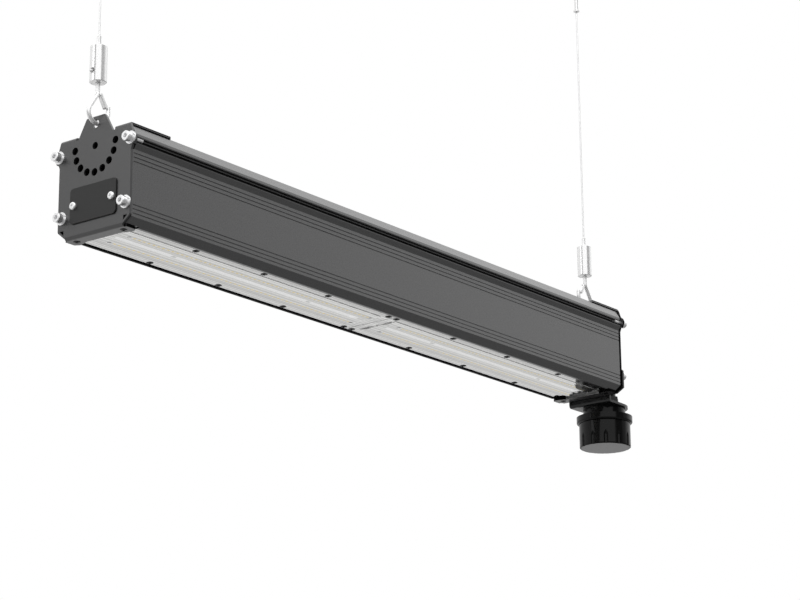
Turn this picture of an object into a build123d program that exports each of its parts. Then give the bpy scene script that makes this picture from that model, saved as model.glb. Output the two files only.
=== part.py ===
from build123d import *
from math import acos, cos, degrees, radians, sin, tan
import os

os.makedirs("parts", exist_ok=True)

# Linear high bay light, hung on two wires, with a plug-in sensor below its right end.
# Millimetres. The origin is on the ceiling, midway between the two ceiling fittings.
# +X runs along the light towards the sensor, +Y to its back and +Z up.
# Heights named "rise" or given beside a width count from the pivot line of the end plates.

# Body and end plates
body_length = 600.0
sheet = 2.0
end_gasket_thickness = 1.0
end_gasket_inset = 0.6
end_gasket_cover = 0.4
end_gasket_rim = 1.6
end_gasket_shoulder_drop = 2.4
bend_radius = 2.4
top_bend_radius = 1.8

# Housing profile: half widths and rises
top_half_width = 31.9
top_rise = 8.0
nose_top_half_width = 35.0
nose_top_rise = 1.9
nose_half_width = 35.8
nose_rise = -0.4
mouth_top_rise = -1.4
mouth_low_rise = -4.7
mouth_slant = 1.0
mouth_overcut = 1.0
lip_half_width = 36.0
lip_rise = -5.0
lip_low_half_width = 35.8
lip_low_rise = -5.8
slope_low_rise = -9.2
wall_half_width = 33.6
wall_low_rise = -56.7
skirt_half_width = 27.9
skirt_rise = -61.2
lens_bay_half_width = 25.6
floor_rise = -56.0
floor_thickness = 3.5
wall_thickness = 2.2
top_thickness = 2.8
cavity_shoulder_drop = 1.2
cavity_slope_drop = 0.4
corner_wall = 1.8
corner_outer_wall = 1.3
corner_room_lift = 0.8
groove_width = 0.9
groove_depth = 0.5
groove_pitch = 3.0
upper_groove_rise = -12.0
lower_groove_rise = -48.4
notch_clearance = 1.0
notch_width = 7.2
fin_groove_width = 3.2
fin_groove_depth = 1.4
fin_groove_pitch = 7.0
fin_groove_count = 8

# Screws of the end plates, M4, and their bosses in the housing
upper_screw_half_width = 33.5
upper_screw_rise = -1.8
lower_screw_half_width = 29.9
lower_screw_rise = -46.5
end_screw_radius = 2.0
end_screw_head_radius = 3.5
end_screw_head_height = 4.0
end_screw_length = 12.0
end_screw_chamfer = 0.4
end_screw_socket = 3.0
end_screw_socket_depth = 2.2
screw_bore_clearance = 0.1
plate_hole_clearance = 0.2
boss_wall = 1.5
flat_washer_radius = 4.6
flat_washer_thickness = 0.8
spring_washer_radius = 3.6
spring_washer_thickness = 1.1
spring_washer_slit = 0.6
spring_washer_slit_turn = 20.0

# End plate outline
tab_top_half_width = 8.6
tab_top_rise = 21.1
tab_foot_half_width = 16.3
tab_foot_rise = 7.4
tab_corner_radius = 1.6
tab_hole_radius = 3.0
tab_hole_rise = 15.8
top_flange_start = 18.4
top_flange_end = 32.4
top_flange_length = 40.0
shoulder_half_width = 34.6
shoulder_rise = 3.4
ear_half_width = 37.6
ear_top_rise = -0.4
ear_side_rise = -3.6
ear_low_rise = -6.6
ear_bevel = 1.2
waist_rise = -9.7
plate_low_half_width = 33.2
plate_side_rise = -55.3
plate_low_rise = -56.3
bend_rise = -61.5
bend_half_width = 26.8
bottom_flange_half_width = 28.6
bottom_flange_depth = 10.7
flange_neck = 0.6
flange_ear_depth = 13.7
flange_ear_bevel_depth = 2.2
flange_ear_bevel_width = 3.4
flange_ear_inner_depth = 11.9
flange_ear_inner_margin = 3.4
flange_notch_margin = 5.0
flange_seat_gap = 0.3
pivot_hole_radius = 2.6
arc_hole_radius = 2.75
arc_radius = 19.0
arc_hole_count = 9
plate_corner_hole_inset = 0.5

# Name plate on the left end plate
name_plate_length = 43.2
name_plate_height = 25.6
name_plate_thickness = 1.2
name_plate_corner = 3.0
name_plate_chamfer = 0.3
name_plate_rise = -40.0
plate_screw_half_width = 17.9
plate_screw_radius = 1.5
plate_screw_head_radius = 2.8
plate_screw_head_height = 1.7
plate_screw_dome = 0.9
plate_screw_length = 7.0
plate_screw_cross = 2.6
plate_screw_slot = 0.6
plate_screw_cross_depth = 0.9

# Lens modules, LED boards and their screws
module_count = 2
module_joint = 0.6
module_end_gap = 2.5
lens_side_clearance = 0.2
lens_corner_radius = 1.0
lens_rim_thickness = 3.5
lens_window_thickness = 2.0
lens_cavity_half_width = 16.8
lens_cavity_end = 9.0
lens_gasket_thickness = 1.0
lens_gasket_inset = 0.6
lens_gasket_width = 7.6
lobe_half_width = 5.2
lobe_height = 0.9
rib_half_width = 1.6
rib_height = 0.7
step_half_width = 17.4
step_height = 0.35
pip_radius = 1.6
pip_height = 1.1
pip_end_distance = 4.4
led_row_half_spacing = 9.4
led_count = 54
led_row_start = 27.2
led_row_end = 16.2
led_length = 3.0
led_width = 2.8
led_height = 0.7
board_half_width = 16.0
board_end_gap = 10.0
board_thickness = 1.2
lens_screw_half_width = 21.8
lens_screw_count = 5
lens_screw_end_distance = 4.54
lens_screw_radius = 1.45
lens_screw_head_radius = 2.65
lens_screw_head_height = 1.3
lens_screw_chamfer = 0.65
lens_screw_clearance = 0.1

# Driver and terminal block inside the housing
driver_length = 420.0
driver_width = 46.0
driver_height = 30.0
driver_wall = 1.5
driver_corner = 2.0
driver_offset = -40.0
driver_cap_thickness = 3.0
driver_ear_length = 10.0
driver_ear_width = 23.0
driver_ear_thickness = 2.0
driver_screw_radius = 1.5
terminal_length = 34.0
terminal_width = 18.0
terminal_height = 16.0
terminal_ways = 5
terminal_screw_radius = 2.0
terminal_screw_depth = 9.6
terminal_entry = 4.1
terminal_entry_rise = 5.6
terminal_from_end = 60.0

# Cable gland on the right end plate, M12
gland_across = 18.0
gland_rise = -26.0
gland_thread_radius = 6.0
gland_hex_across_flats = 15.0
gland_hex_thickness = 4.0
gland_thread_length = 7.0
gland_collar_radius = 5.6
gland_collar_length = 6.0
gland_nut_grip = 6.6
gland_nut_dome = 4.4
gland_nut_taper = 30.0
gland_nut_bore_gap = 0.2
gland_bore_radius = 3.4
gland_seal_wall = 1.0
gland_locknut_thickness = 3.0
gland_clearance = 0.15

# Sensor, its bracket and the grommet for its lead
bracket_half_width = 34.2
bracket_top_rise = -41.8
bracket_side_rise = -58.1
bracket_bevel_half_width = 27.4
bracket_bevel_rise = -62.2
bracket_foot_half_width = 20.6
bracket_low_rise = -68.0
bracket_corner_radius = 2.5
bracket_reach = 22.6
bracket_square_length = 13.6
bracket_round_radius = 20.2
sensor_stub_radius = 10.2
sensor_stub_rise = 16.0
sensor_stub_bore = 7.5
sensor_hole_clearance = 0.3
sensor_neck_radius = 18.0
sensor_neck_length = 7.0
sensor_ring_radius = 23.8
sensor_ring_length = 6.0
sensor_ring_edge = 1.6
sensor_stub_chamfer = 0.8
sensor_nut_thickness = 7.5
sensor_nut_radius = 12.0
socket_radius = 15.0
socket_depth = 5.0
cap_radius = 21.8
cap_length = 20.5
cap_wall = 2.4
cap_edge_radius = 1.2
cap_gap = 0.3
cap_flute_count = 12
cap_flute_radius = 1.9
cap_flute_depth = 1.4
cap_flute_height = 13.2
cap_flute_tip = 5.0
cap_flute_turn = 5.0
plug_thickness = 3.0
sensor_board_thickness = 1.6
sensor_board_gap = 1.0
grommet_rise = -47.0
grommet_radius = 3.5
grommet_bore = 1.8
grommet_lip = 1.2

# Suspensions: one wire, gripper and snap hook at each end
fitting_barrel_radius = 6.0
fitting_barrel_length = 16.0
fitting_chamfer = 1.0
fitting_thread_radius = 2.5
fitting_thread_depth = 10.0
fitting_sleeve_radius = 1.7
fitting_sleeve_length = 14.0
fitting_rim_radius = 2.6
fitting_rim_length = 1.4
fitting_rim_chamfer = 0.3
wire_radius = 0.75
wire_seat = 0.1
wire_free_length = 211.2
wire_inside_fitting = 16.0
wire_end_gap = 0.4
plunger_radius = 1.6
plunger_bore = 1.0
plunger_out = 8.1
plunger_travel = 2.2
plunger_collar_radius = 2.3
plunger_collar_length = 1.5
plunger_clearance = 0.2
plunger_chamfer = 0.3
gripper_radius = 6.0
gripper_length = 26.5
gripper_chamfer = 0.35
gripper_neck_depth = 6.5
plunger_top_gap = 0.3
spring_shut_length = 2.0
gripper_bore = 4.4
core_length = 8.4
plug_length = 2.2
fit_gap = 0.1
wire_knee_radius = 5.0
tail_fall_angle = 25.0
tail_reach = 7.9
tail_channel_radius = 1.15
tail_hole_radius = 1.9
stem_clearance = 0.25
knee_drop = 16.1
spring_wire = 0.4
spring_turns = 2.0
hook_wire_radius = 1.6
hook_stem_length = 6.7
hook_collar_radius = 3.7
hook_collar_length = 1.8
hook_neck_turn = 34.0
hook_neck_radius = 4.0
hook_back_radius = 7.5
hook_front_radius = 11.2
hook_loop_offset = 0.6
hook_nose_length = 4.3
hook_nose_round = 0.95
hook_seat_gap = 1.0
hook_collar_gap = 0.15
lug_radius = 1.15
lug_thickness = 1.3
lug_offset = 2.45
lug_drop = 1.6
gate_thickness = 3.0
gate_gap = 0.15
gate_nose_gap = 0.15
gate_length = 8.9
gate_pivot_radius = 1.15
gate_tip_radius = 1.45
gate_edge_radius = 0.4
gate_fork_depth = 2.2
gate_pin_radius = 0.6
gate_pin_clearance = 0.05
gate_pin_head_radius = 0.85
gate_pin_head_thickness = 0.3
gate_spring_width = 1.8
gate_spring_thickness = 0.3

# Places worked out from the sizes above
half_length = body_length / 2
hang_half_spacing = half_length - sheet / 2
housing_end = half_length - sheet - end_gasket_thickness
fitting_bottom = -(fitting_barrel_length + fitting_sleeve_length)
plunger_top = fitting_bottom - wire_free_length
gripper_top = plunger_top - plunger_out
gripper_bottom = gripper_top - gripper_length
stem_bottom = gripper_bottom - hook_stem_length
neck_width = hook_neck_radius * (1 - cos(radians(hook_neck_turn)))
neck_height = hook_neck_radius * sin(radians(hook_neck_turn))
heel_width = hook_back_radius * cos(radians(hook_neck_turn)) + hook_loop_offset
back_length = (heel_width - neck_width) / sin(radians(hook_neck_turn))
back_drop = neck_height + back_length * cos(radians(hook_neck_turn))
loop_centre = stem_bottom - back_drop - hook_back_radius * sin(radians(hook_neck_turn))
hook_low = loop_centre - hook_back_radius
front_inner_radius = hook_front_radius - hook_wire_radius
tab_edge_offset = hook_loop_offset + sheet / 2
tab_edge_lift = front_inner_radius - (front_inner_radius**2 - tab_edge_offset**2) ** 0.5
tab_seat = hook_low + hook_wire_radius + tab_edge_lift + hook_seat_gap
pivot_z = tab_seat - tab_hole_radius - tab_hole_rise

lens_face_rise = floor_rise - lens_gasket_thickness - lens_rim_thickness
flange_top_rise = lens_face_rise - flange_seat_gap
flange_low_rise = flange_top_rise - sheet
top_flange_rise = top_rise + sheet
cavity_top_rise = top_rise - top_thickness
cavity_floor_rise = floor_rise + floor_thickness
screw_bore_radius = end_screw_radius + screw_bore_clearance
boss_radius = screw_bore_radius + boss_wall
cavity_top_half_width = upper_screw_half_width - boss_radius
cavity_half_width = wall_half_width - wall_thickness
screw_points = [
    (upper_screw_half_width, upper_screw_rise),
    (-upper_screw_half_width, upper_screw_rise),
    (lower_screw_half_width, lower_screw_rise),
    (-lower_screw_half_width, lower_screw_rise),
]
plate_screw_points = [
    (plate_screw_half_width, name_plate_rise),
    (-plate_screw_half_width, name_plate_rise),
]

module_pitch = (body_length - 2 * module_end_gap + module_joint) / module_count
module_length = module_pitch - module_joint
module_centres = [module_pitch * (n - (module_count - 1) / 2) for n in range(module_count)]
lens_half_width = lens_bay_half_width - lens_side_clearance
lens_screw_pitch = (module_length - 2 * lens_screw_end_distance) / (lens_screw_count - 1)
led_pitch = (module_length - led_row_start - led_row_end) / (led_count - 1)
led_row_offset = (led_row_start - led_row_end) / 2


def section(x):
    """Cross-section plane at x: its first axis is +Y and its second +Z, from the pivot line."""
    return Plane(origin=(x, 0, pivot_z), x_dir=(0, 1, 0), z_dir=(1, 0, 0))


def level(rise):
    """Horizontal plane at a rise above the pivot line."""
    return Plane.XY.offset(pivot_z + rise)


def both_sides(points):
    """Closed outline from its right half, listed from top to bottom."""
    return points + [(-u, v) for u, v in reversed(points)]


def keep(part, node):
    """Labels a finished piece and writes it."""
    part.label = node
    export_step(part, f"parts/{node}.step")


def turned(part):
    """The same piece at the other end of the light."""
    return part.rotate(Axis.Z, 180)


# Housing: one aluminium extrusion
corner_inner = lens_bay_half_width + corner_wall
corner_outer = wall_half_width - corner_outer_wall
corner_room = [
    (corner_inner, floor_rise + corner_room_lift),
    (corner_outer, floor_rise + corner_room_lift),
    (corner_inner, skirt_rise + corner_wall),
]
corner_hole = [
    (corner_inner + plate_corner_hole_inset, floor_rise + corner_room_lift - plate_corner_hole_inset / 2),
    (corner_outer - plate_corner_hole_inset, floor_rise + corner_room_lift - plate_corner_hole_inset / 2),
    (corner_inner + plate_corner_hole_inset, skirt_rise + corner_wall + plate_corner_hole_inset),
]
housing_outline = [
    (top_half_width, top_rise),
    (nose_top_half_width, nose_top_rise),
    (nose_half_width, nose_rise),
    (lip_half_width, lip_rise),
    (lip_low_half_width, lip_low_rise),
    (wall_half_width, slope_low_rise),
    (wall_half_width, wall_low_rise),
    (skirt_half_width, skirt_rise),
    (lens_bay_half_width, skirt_rise),
    (lens_bay_half_width, floor_rise),
]
cavity_outline = [
    (cavity_top_half_width, cavity_top_rise),
    (cavity_top_half_width, lip_rise - cavity_shoulder_drop),
    (cavity_half_width, slope_low_rise - cavity_slope_drop),
    (cavity_half_width, cavity_floor_rise),
]
mouth = [
    (upper_screw_half_width, mouth_top_rise + mouth_slant / 2),
    (lip_half_width + mouth_overcut, mouth_top_rise),
    (lip_half_width + mouth_overcut, mouth_low_rise),
    (upper_screw_half_width, mouth_low_rise + mouth_slant),
]
groove_rises = [upper_groove_rise - groove_pitch * n for n in range(3)]
groove_rises += [lower_groove_rise - groove_pitch * n for n in range(3)]
lens_screw_xs = [
    centre + lens_screw_pitch * (n - (lens_screw_count - 1) / 2)
    for centre in module_centres
    for n in range(lens_screw_count)
]
lens_screw_points = [(x, side * lens_screw_half_width) for side in (-1, 1) for x in lens_screw_xs]

with BuildPart() as housing:
    with BuildSketch(section(-housing_end)):
        with BuildLine():
            Polyline(*both_sides(housing_outline), close=True)
        make_face()
        with BuildLine(mode=Mode.PRIVATE) as cavity_line:
            Polyline(*both_sides(cavity_outline), close=True)
        make_face(cavity_line.line, mode=Mode.SUBTRACT)
        with Locations(*screw_points[2:]):
            Circle(boss_radius)
        with Locations(*screw_points):
            Circle(screw_bore_radius, mode=Mode.SUBTRACT)
        for side in (-1, 1):
            with BuildLine(mode=Mode.PRIVATE) as mouth_line:
                Polyline(*[(side * u, v) for u, v in mouth], close=True)
            make_face(mouth_line.line, mode=Mode.SUBTRACT)
            with BuildLine(mode=Mode.PRIVATE) as room_line:
                Polyline(*[(side * u, v) for u, v in corner_room], close=True)
            make_face(room_line.line, mode=Mode.SUBTRACT)
        with Locations(*[(s * wall_half_width, rise) for s in (-1, 1) for rise in groove_rises]):
            Rectangle(2 * groove_depth, groove_width, mode=Mode.SUBTRACT)
        with Locations((0, top_rise)):
            with GridLocations(fin_groove_pitch, 0, fin_groove_count, 1):
                Rectangle(fin_groove_width, 2 * fin_groove_depth, mode=Mode.SUBTRACT)
    extrude(amount=2 * housing_end)
    with BuildSketch(level(floor_rise)):
        with Locations(*lens_screw_points):
            Circle(lens_screw_radius + lens_screw_clearance)
    extrude(amount=floor_thickness, mode=Mode.SUBTRACT)
    notch_length = flange_ear_depth + notch_clearance
    with BuildSketch(level(skirt_rise)):
        with GridLocations(2 * half_length - notch_length, 2 * skirt_half_width, 2, 2):
            Rectangle(notch_length, notch_width)
    extrude(amount=lens_face_rise - skirt_rise, mode=Mode.SUBTRACT)
keep(housing.part, "housing")

# End plates: folded sheet with a hanging tab, two top flanges and a bottom flange
plate_outline = [
    (tab_top_half_width, tab_top_rise),
    (tab_foot_half_width, tab_foot_rise),
    (top_flange_start, tab_foot_rise),
    (top_flange_start, top_flange_rise),
    (top_flange_end, top_flange_rise),
    (shoulder_half_width, shoulder_rise),
    (ear_half_width, ear_top_rise),
    (ear_half_width, ear_side_rise),
    (ear_half_width - ear_bevel, ear_low_rise),
    (wall_half_width + ear_bevel, ear_low_rise),
    (wall_half_width, waist_rise),
    (wall_half_width, plate_side_rise),
    (plate_low_half_width, plate_low_rise),
    (bend_half_width, bend_rise),
    (bend_half_width, flange_low_rise),
]
flange_outline = [
    (0, bend_half_width),
    (bend_radius + flange_neck, bend_half_width),
    (bend_radius + flange_neck, bottom_flange_half_width),
    (flange_ear_depth - flange_ear_bevel_depth, bottom_flange_half_width),
    (flange_ear_depth, bottom_flange_half_width - flange_ear_bevel_width),
    (flange_ear_inner_depth, lens_screw_half_width - flange_ear_inner_margin),
    (bottom_flange_depth, lens_screw_half_width - flange_notch_margin),
]


def end_plate():
    """The folded plate at the left end, with the holes that both ends have."""
    with BuildPart() as plate:
        with BuildSketch(section(-half_length)):
            with BuildLine():
                Polyline(*both_sides(plate_outline), close=True)
            make_face()
            with Locations((0, tab_hole_rise)):
                Circle(tab_hole_radius, mode=Mode.SUBTRACT)
            Circle(pivot_hole_radius, mode=Mode.SUBTRACT)
            with PolarLocations(arc_radius, arc_hole_count, 180, 180, endpoint=True):
                Circle(arc_hole_radius, mode=Mode.SUBTRACT)
            with Locations(*screw_points):
                Circle(end_screw_radius + plate_hole_clearance, mode=Mode.SUBTRACT)
            for side in (-1, 1):
                with BuildLine(mode=Mode.PRIVATE) as corner_line:
                    Polyline(*[(side * u, v) for u, v in corner_hole], close=True)
                make_face(corner_line.line, mode=Mode.SUBTRACT)
        extrude(amount=sheet)
        with BuildSketch(level(top_rise)):
            for side in (-1, 1):
                with Locations((-half_length, side * (top_flange_start + top_flange_end) / 2)):
                    Rectangle(
                        top_flange_length,
                        top_flange_end - top_flange_start,
                        align=(Align.MIN, Align.CENTER),
                    )
        extrude(amount=sheet)
        with BuildSketch(Plane(origin=(-half_length, 0, pivot_z + flange_low_rise))):
            with BuildLine():
                Polyline(*(flange_outline + [(x, -y) for x, y in reversed(flange_outline)]), close=True)
            make_face()
            with GridLocations(0, 2 * lens_screw_half_width, 1, 2):
                with Locations((lens_screw_xs[0] + half_length, 0)):
                    Circle(lens_screw_radius + plate_hole_clearance, mode=Mode.SUBTRACT)
        extrude(amount=sheet)
        bends = plate.edges().filter_by(Axis.Y).group_by(Axis.X)[0].group_by(Axis.Z)
        fillet(bends[0], bend_radius)
        fillet(bends[-2], top_bend_radius)
        tab_corners = plate.edges().filter_by(Axis.X).group_by(Axis.Z)[-1]
        fillet(tab_corners, tab_corner_radius)
    return plate.part


with BuildPart() as left_end_plate:
    add(end_plate())
    with BuildSketch(section(-half_length)):
        with Locations(*plate_screw_points):
            Circle(plate_screw_radius + screw_bore_clearance)
    extrude(amount=sheet, mode=Mode.SUBTRACT)
keep(left_end_plate.part, "left_end_plate")

with BuildPart() as right_end_plate:
    add(turned(end_plate()))
    with BuildSketch(section(half_length)):
        with Locations((gland_across, gland_rise)):
            Circle(gland_thread_radius + gland_clearance)
        with Locations((0, grommet_rise)):
            Circle(grommet_radius)
    extrude(amount=-sheet, mode=Mode.SUBTRACT)
keep(right_end_plate.part, "right_end_plate")

# End gaskets: the cavity stays open, and so do the corner rooms
gasket_outline = [
    (top_half_width - end_gasket_inset, top_rise - end_gasket_inset),
    (cavity_top_half_width, top_rise - end_gasket_shoulder_drop),
    (cavity_top_half_width, slope_low_rise),
    (wall_half_width - end_gasket_inset, slope_low_rise - end_gasket_inset),
    (wall_half_width - end_gasket_inset, wall_low_rise + end_gasket_inset),
    (skirt_half_width - end_gasket_inset, skirt_rise + end_gasket_inset),
    (lens_bay_half_width, skirt_rise + end_gasket_inset),
    (lens_bay_half_width, floor_rise + end_gasket_inset),
]
gasket_boss_half_width = lower_screw_half_width - boss_radius - end_gasket_cover
gasket_boss_rise = lower_screw_rise + boss_radius + end_gasket_cover
gasket_window = [
    (cavity_top_half_width - end_gasket_rim, cavity_top_rise - end_gasket_cover),
    (cavity_top_half_width - end_gasket_rim, gasket_boss_rise),
    (gasket_boss_half_width, gasket_boss_rise),
    (gasket_boss_half_width, cavity_floor_rise + end_gasket_cover),
]


def end_gasket():
    """Flat rubber frame between the housing and the left end plate."""
    with BuildPart() as gasket:
        with BuildSketch(section(-half_length + sheet)):
            with BuildLine():
                Polyline(*both_sides(gasket_outline), close=True)
            make_face()
            with BuildLine(mode=Mode.PRIVATE) as window_line:
                Polyline(*both_sides(gasket_window), close=True)
            make_face(window_line.line, mode=Mode.SUBTRACT)
            with Locations(*screw_points[2:]):
                Circle(end_screw_radius + plate_hole_clearance, mode=Mode.SUBTRACT)
            for side in (-1, 1):
                with BuildLine(mode=Mode.PRIVATE) as room_line:
                    Polyline(*[(side * u, v) for u, v in corner_room], close=True)
                make_face(room_line.line, mode=Mode.SUBTRACT)
        extrude(amount=end_gasket_thickness)
    return gasket.part


keep(end_gasket(), "left_end_gasket")
keep(turned(end_gasket()), "right_end_gasket")

# Screws, spring washers and flat washers of the end plates; two of them hold the sensor bracket too
screw_groups = [
    (-1, half_length, screw_points),
    (1, half_length, screw_points[:2]),
    (1, half_length + sheet, screw_points[2:]),
]


def outward(side, x):
    """Cross-section plane at x from the middle, towards the left (-1) or right (1) end."""
    return Plane(origin=(side * x, 0, pivot_z), x_dir=(0, side, 0), z_dir=(side, 0, 0))


with BuildPart() as end_screws:
    for side, seat_x, points in screw_groups:
        head_seat = seat_x + flat_washer_thickness + spring_washer_thickness
        with BuildSketch(outward(side, head_seat)):
            with Locations(*points):
                Circle(end_screw_head_radius)
        extrude(amount=end_screw_head_height)
        chamfer(end_screws.edges().group_by(Axis.X)[0 if side < 0 else -1], end_screw_chamfer)
        with BuildSketch(outward(side, head_seat)):
            with Locations(*points):
                Circle(end_screw_radius)
        extrude(amount=-end_screw_length)
        with BuildSketch(outward(side, head_seat + end_screw_head_height)):
            with Locations(*points):
                RegularPolygon(end_screw_socket / 2, 6, major_radius=False)
        extrude(amount=-end_screw_socket_depth, mode=Mode.SUBTRACT)
keep(end_screws.part, "end_screws")

with BuildPart() as spring_washers:
    for side, seat_x, points in screw_groups:
        with BuildSketch(outward(side, seat_x + flat_washer_thickness)):
            with Locations(*points):
                Circle(spring_washer_radius)
                Circle(end_screw_radius + plate_hole_clearance, mode=Mode.SUBTRACT)
                Rectangle(
                    spring_washer_radius + spring_washer_slit,
                    spring_washer_slit,
                    rotation=spring_washer_slit_turn,
                    align=(Align.MIN, Align.CENTER),
                    mode=Mode.SUBTRACT,
                )
        extrude(amount=spring_washer_thickness)
keep(spring_washers.part, "spring_washers")

with BuildPart() as flat_washers:
    for side, seat_x, points in screw_groups:
        with BuildSketch(outward(side, seat_x)):
            with Locations(*points):
                Circle(flat_washer_radius)
                Circle(end_screw_radius + plate_hole_clearance, mode=Mode.SUBTRACT)
        extrude(amount=flat_washer_thickness)
keep(flat_washers.part, "flat_washers")

# Name plate, bare, with its two screws
with BuildPart() as name_plate:
    with BuildSketch(section(-half_length)):
        with Locations((0, name_plate_rise)):
            RectangleRounded(name_plate_length, name_plate_height, name_plate_corner)
        with Locations(*plate_screw_points):
            Circle(plate_screw_radius + screw_bore_clearance, mode=Mode.SUBTRACT)
    extrude(amount=-name_plate_thickness)
    chamfer(name_plate.faces().sort_by(Axis.X)[0].outer_wire().edges(), name_plate_chamfer)
keep(name_plate.part, "name_plate")

plate_screw_seat = -half_length - name_plate_thickness
with BuildPart() as name_plate_screws:
    with BuildSketch(section(plate_screw_seat)):
        with Locations(*plate_screw_points):
            Circle(plate_screw_head_radius)
    extrude(amount=-plate_screw_head_height)
    fillet(name_plate_screws.edges().group_by(Axis.X)[0], plate_screw_dome)
    with BuildSketch(section(plate_screw_seat)):
        with Locations(*plate_screw_points):
            Circle(plate_screw_radius)
    extrude(amount=plate_screw_length)
    with BuildSketch(section(plate_screw_seat - plate_screw_head_height)):
        with Locations(*plate_screw_points):
            Rectangle(plate_screw_cross, plate_screw_slot)
            Rectangle(plate_screw_slot, plate_screw_cross)
    extrude(amount=plate_screw_cross_depth, mode=Mode.SUBTRACT)
keep(name_plate_screws.part, "name_plate_screws")

# Lens modules: a clear rim, two long lobes over the LED rows and a centre rib

def lens(centre):
    """One moulded lens, its ribs running along X."""
    low = pivot_z + lens_face_rise
    with BuildPart() as cover:
        with BuildSketch(Plane(origin=(centre, 0, low))):
            RectangleRounded(module_length, 2 * lens_half_width, lens_corner_radius)
        extrude(amount=lens_rim_thickness)
        rib_length = module_length - 2 * lens_cavity_end
        with BuildSketch(section(centre - rib_length / 2)):
            with Locations((0, lens_face_rise)):
                Rectangle(2 * step_half_width, 2 * step_height)
            for side in (-1, 1):
                with Locations((side * led_row_half_spacing, lens_face_rise)):
                    Ellipse(lobe_half_width, lobe_height)
            with Locations((0, lens_face_rise)):
                Ellipse(rib_half_width, rib_height)
        extrude(amount=rib_length)
        with BuildSketch(Plane(origin=(centre, 0, low + lens_window_thickness))):
            Rectangle(module_length - 2 * lens_cavity_end, 2 * lens_cavity_half_width)
        extrude(amount=lens_rim_thickness, mode=Mode.SUBTRACT)
        row_half = led_pitch * (led_count - 1) / 2 + pip_end_distance
        with BuildSketch(Plane(origin=(centre + led_row_offset, 0, low))):
            with GridLocations(2 * row_half, 2 * led_row_half_spacing, 2, 2):
                Circle(pip_radius)
        extrude(amount=-pip_height)
        with BuildSketch(Plane.XY.offset(low)):
            with Locations(*lens_screw_points):
                Circle(lens_screw_radius + plate_hole_clearance)
        extrude(amount=lens_rim_thickness, mode=Mode.SUBTRACT)
    return cover.part


def lens_gasket(centre):
    """Rubber frame between the housing floor and the lens rim."""
    with BuildPart() as frame:
        with BuildSketch(Plane(origin=(centre, 0, pivot_z + floor_rise))):
            outer_length = module_length - 2 * lens_gasket_inset
            outer_width = 2 * (lens_half_width - lens_gasket_inset)
            Rectangle(outer_length, outer_width)
            Rectangle(
                outer_length - 2 * lens_gasket_width, outer_width - 2 * lens_gasket_width, mode=Mode.SUBTRACT
            )
        extrude(amount=-lens_gasket_thickness)
        with BuildSketch(Plane.XY.offset(pivot_z + floor_rise)):
            with Locations(*lens_screw_points):
                Circle(lens_screw_radius + plate_hole_clearance)
        extrude(amount=-lens_gasket_thickness, mode=Mode.SUBTRACT)
    return frame.part


def led_board(centre):
    """Aluminium circuit board on the housing floor."""
    with BuildPart() as board:
        with BuildSketch(Plane(origin=(centre, 0, pivot_z + floor_rise))):
            Rectangle(module_length - 2 * board_end_gap, 2 * board_half_width)
        extrude(amount=-board_thickness)
    return board.part


def leds(centre):
    """Two rows of LED chips, each chip a solid of its own."""
    with BuildPart() as chips:
        with BuildSketch(
            Plane(origin=(centre + led_row_offset, 0, pivot_z + floor_rise - board_thickness))
        ):
            with GridLocations(led_pitch, 2 * led_row_half_spacing, led_count, 2):
                Rectangle(led_length, led_width)
        extrude(amount=-led_height)
    return chips.part


for end_name, centre in zip(("left", "right"), module_centres):
    keep(lens(centre), f"{end_name}_lens")
    keep(lens_gasket(centre), f"{end_name}_lens_gasket")
    keep(led_board(centre), f"{end_name}_led_board")
    keep(leds(centre), f"{end_name}_leds")

# Lens screws: those at the two ends also hold the end plates' bottom flanges
end_xs = (lens_screw_xs[0], lens_screw_xs[-1])
inner_points = [(x, y) for x, y in lens_screw_points if x not in end_xs]
flange_points = [(x, y) for x, y in lens_screw_points if x in end_xs]
with BuildPart() as lens_screws:
    for seat_rise, points in ((lens_face_rise, inner_points), (flange_low_rise, flange_points)):
        with BuildSketch(level(seat_rise)):
            with Locations(*points):
                Circle(lens_screw_head_radius)
        extrude(amount=-lens_screw_head_height)
        chamfer(lens_screws.edges().group_by(Axis.Z)[0], lens_screw_chamfer)
        with BuildSketch(level(seat_rise)):
            with Locations(*points):
                Circle(lens_screw_radius)
        extrude(amount=floor_rise + floor_thickness - seat_rise)
keep(lens_screws.part, "lens_screws")

# Driver: aluminium tube with plastic end caps, screwed down on the housing floor
driver_low = pivot_z + cavity_floor_rise
driver_end = driver_length / 2
with BuildPart() as driver_case:
    with BuildSketch(section(driver_offset - driver_end)):
        with Locations((0, cavity_floor_rise + driver_height / 2)):
            RectangleRounded(driver_width, driver_height, driver_corner)
            Rectangle(driver_width - 2 * driver_wall, driver_height - 2 * driver_wall, mode=Mode.SUBTRACT)
    extrude(amount=driver_length)
keep(driver_case.part, "driver_case")

with BuildPart() as driver_potting:
    with Locations((driver_offset, 0, driver_low + driver_height / 2)):
        Box(
            driver_length,
            driver_width - 2 * driver_wall - fit_gap,
            driver_height - 2 * driver_wall - fit_gap,
        )
keep(driver_potting.part, "driver_circuit")

ear_points = [(side * (driver_end + driver_cap_thickness + driver_ear_length / 2), 0) for side in (-1, 1)]
with BuildPart() as driver_caps:
    with Locations((driver_offset, 0, driver_low)):
        with GridLocations(driver_length + driver_cap_thickness, 0, 2, 1):
            Box(
                driver_cap_thickness,
                driver_width,
                driver_height,
                align=(Align.CENTER, Align.CENTER, Align.MIN),
            )
    with BuildSketch(Plane(origin=(driver_offset, 0, driver_low))):
        with Locations(*ear_points):
            Rectangle(driver_ear_length, driver_ear_width)
            Circle(driver_screw_radius + screw_bore_clearance, mode=Mode.SUBTRACT)
    extrude(amount=driver_ear_thickness)
keep(driver_caps.part, "driver_end_caps")

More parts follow.
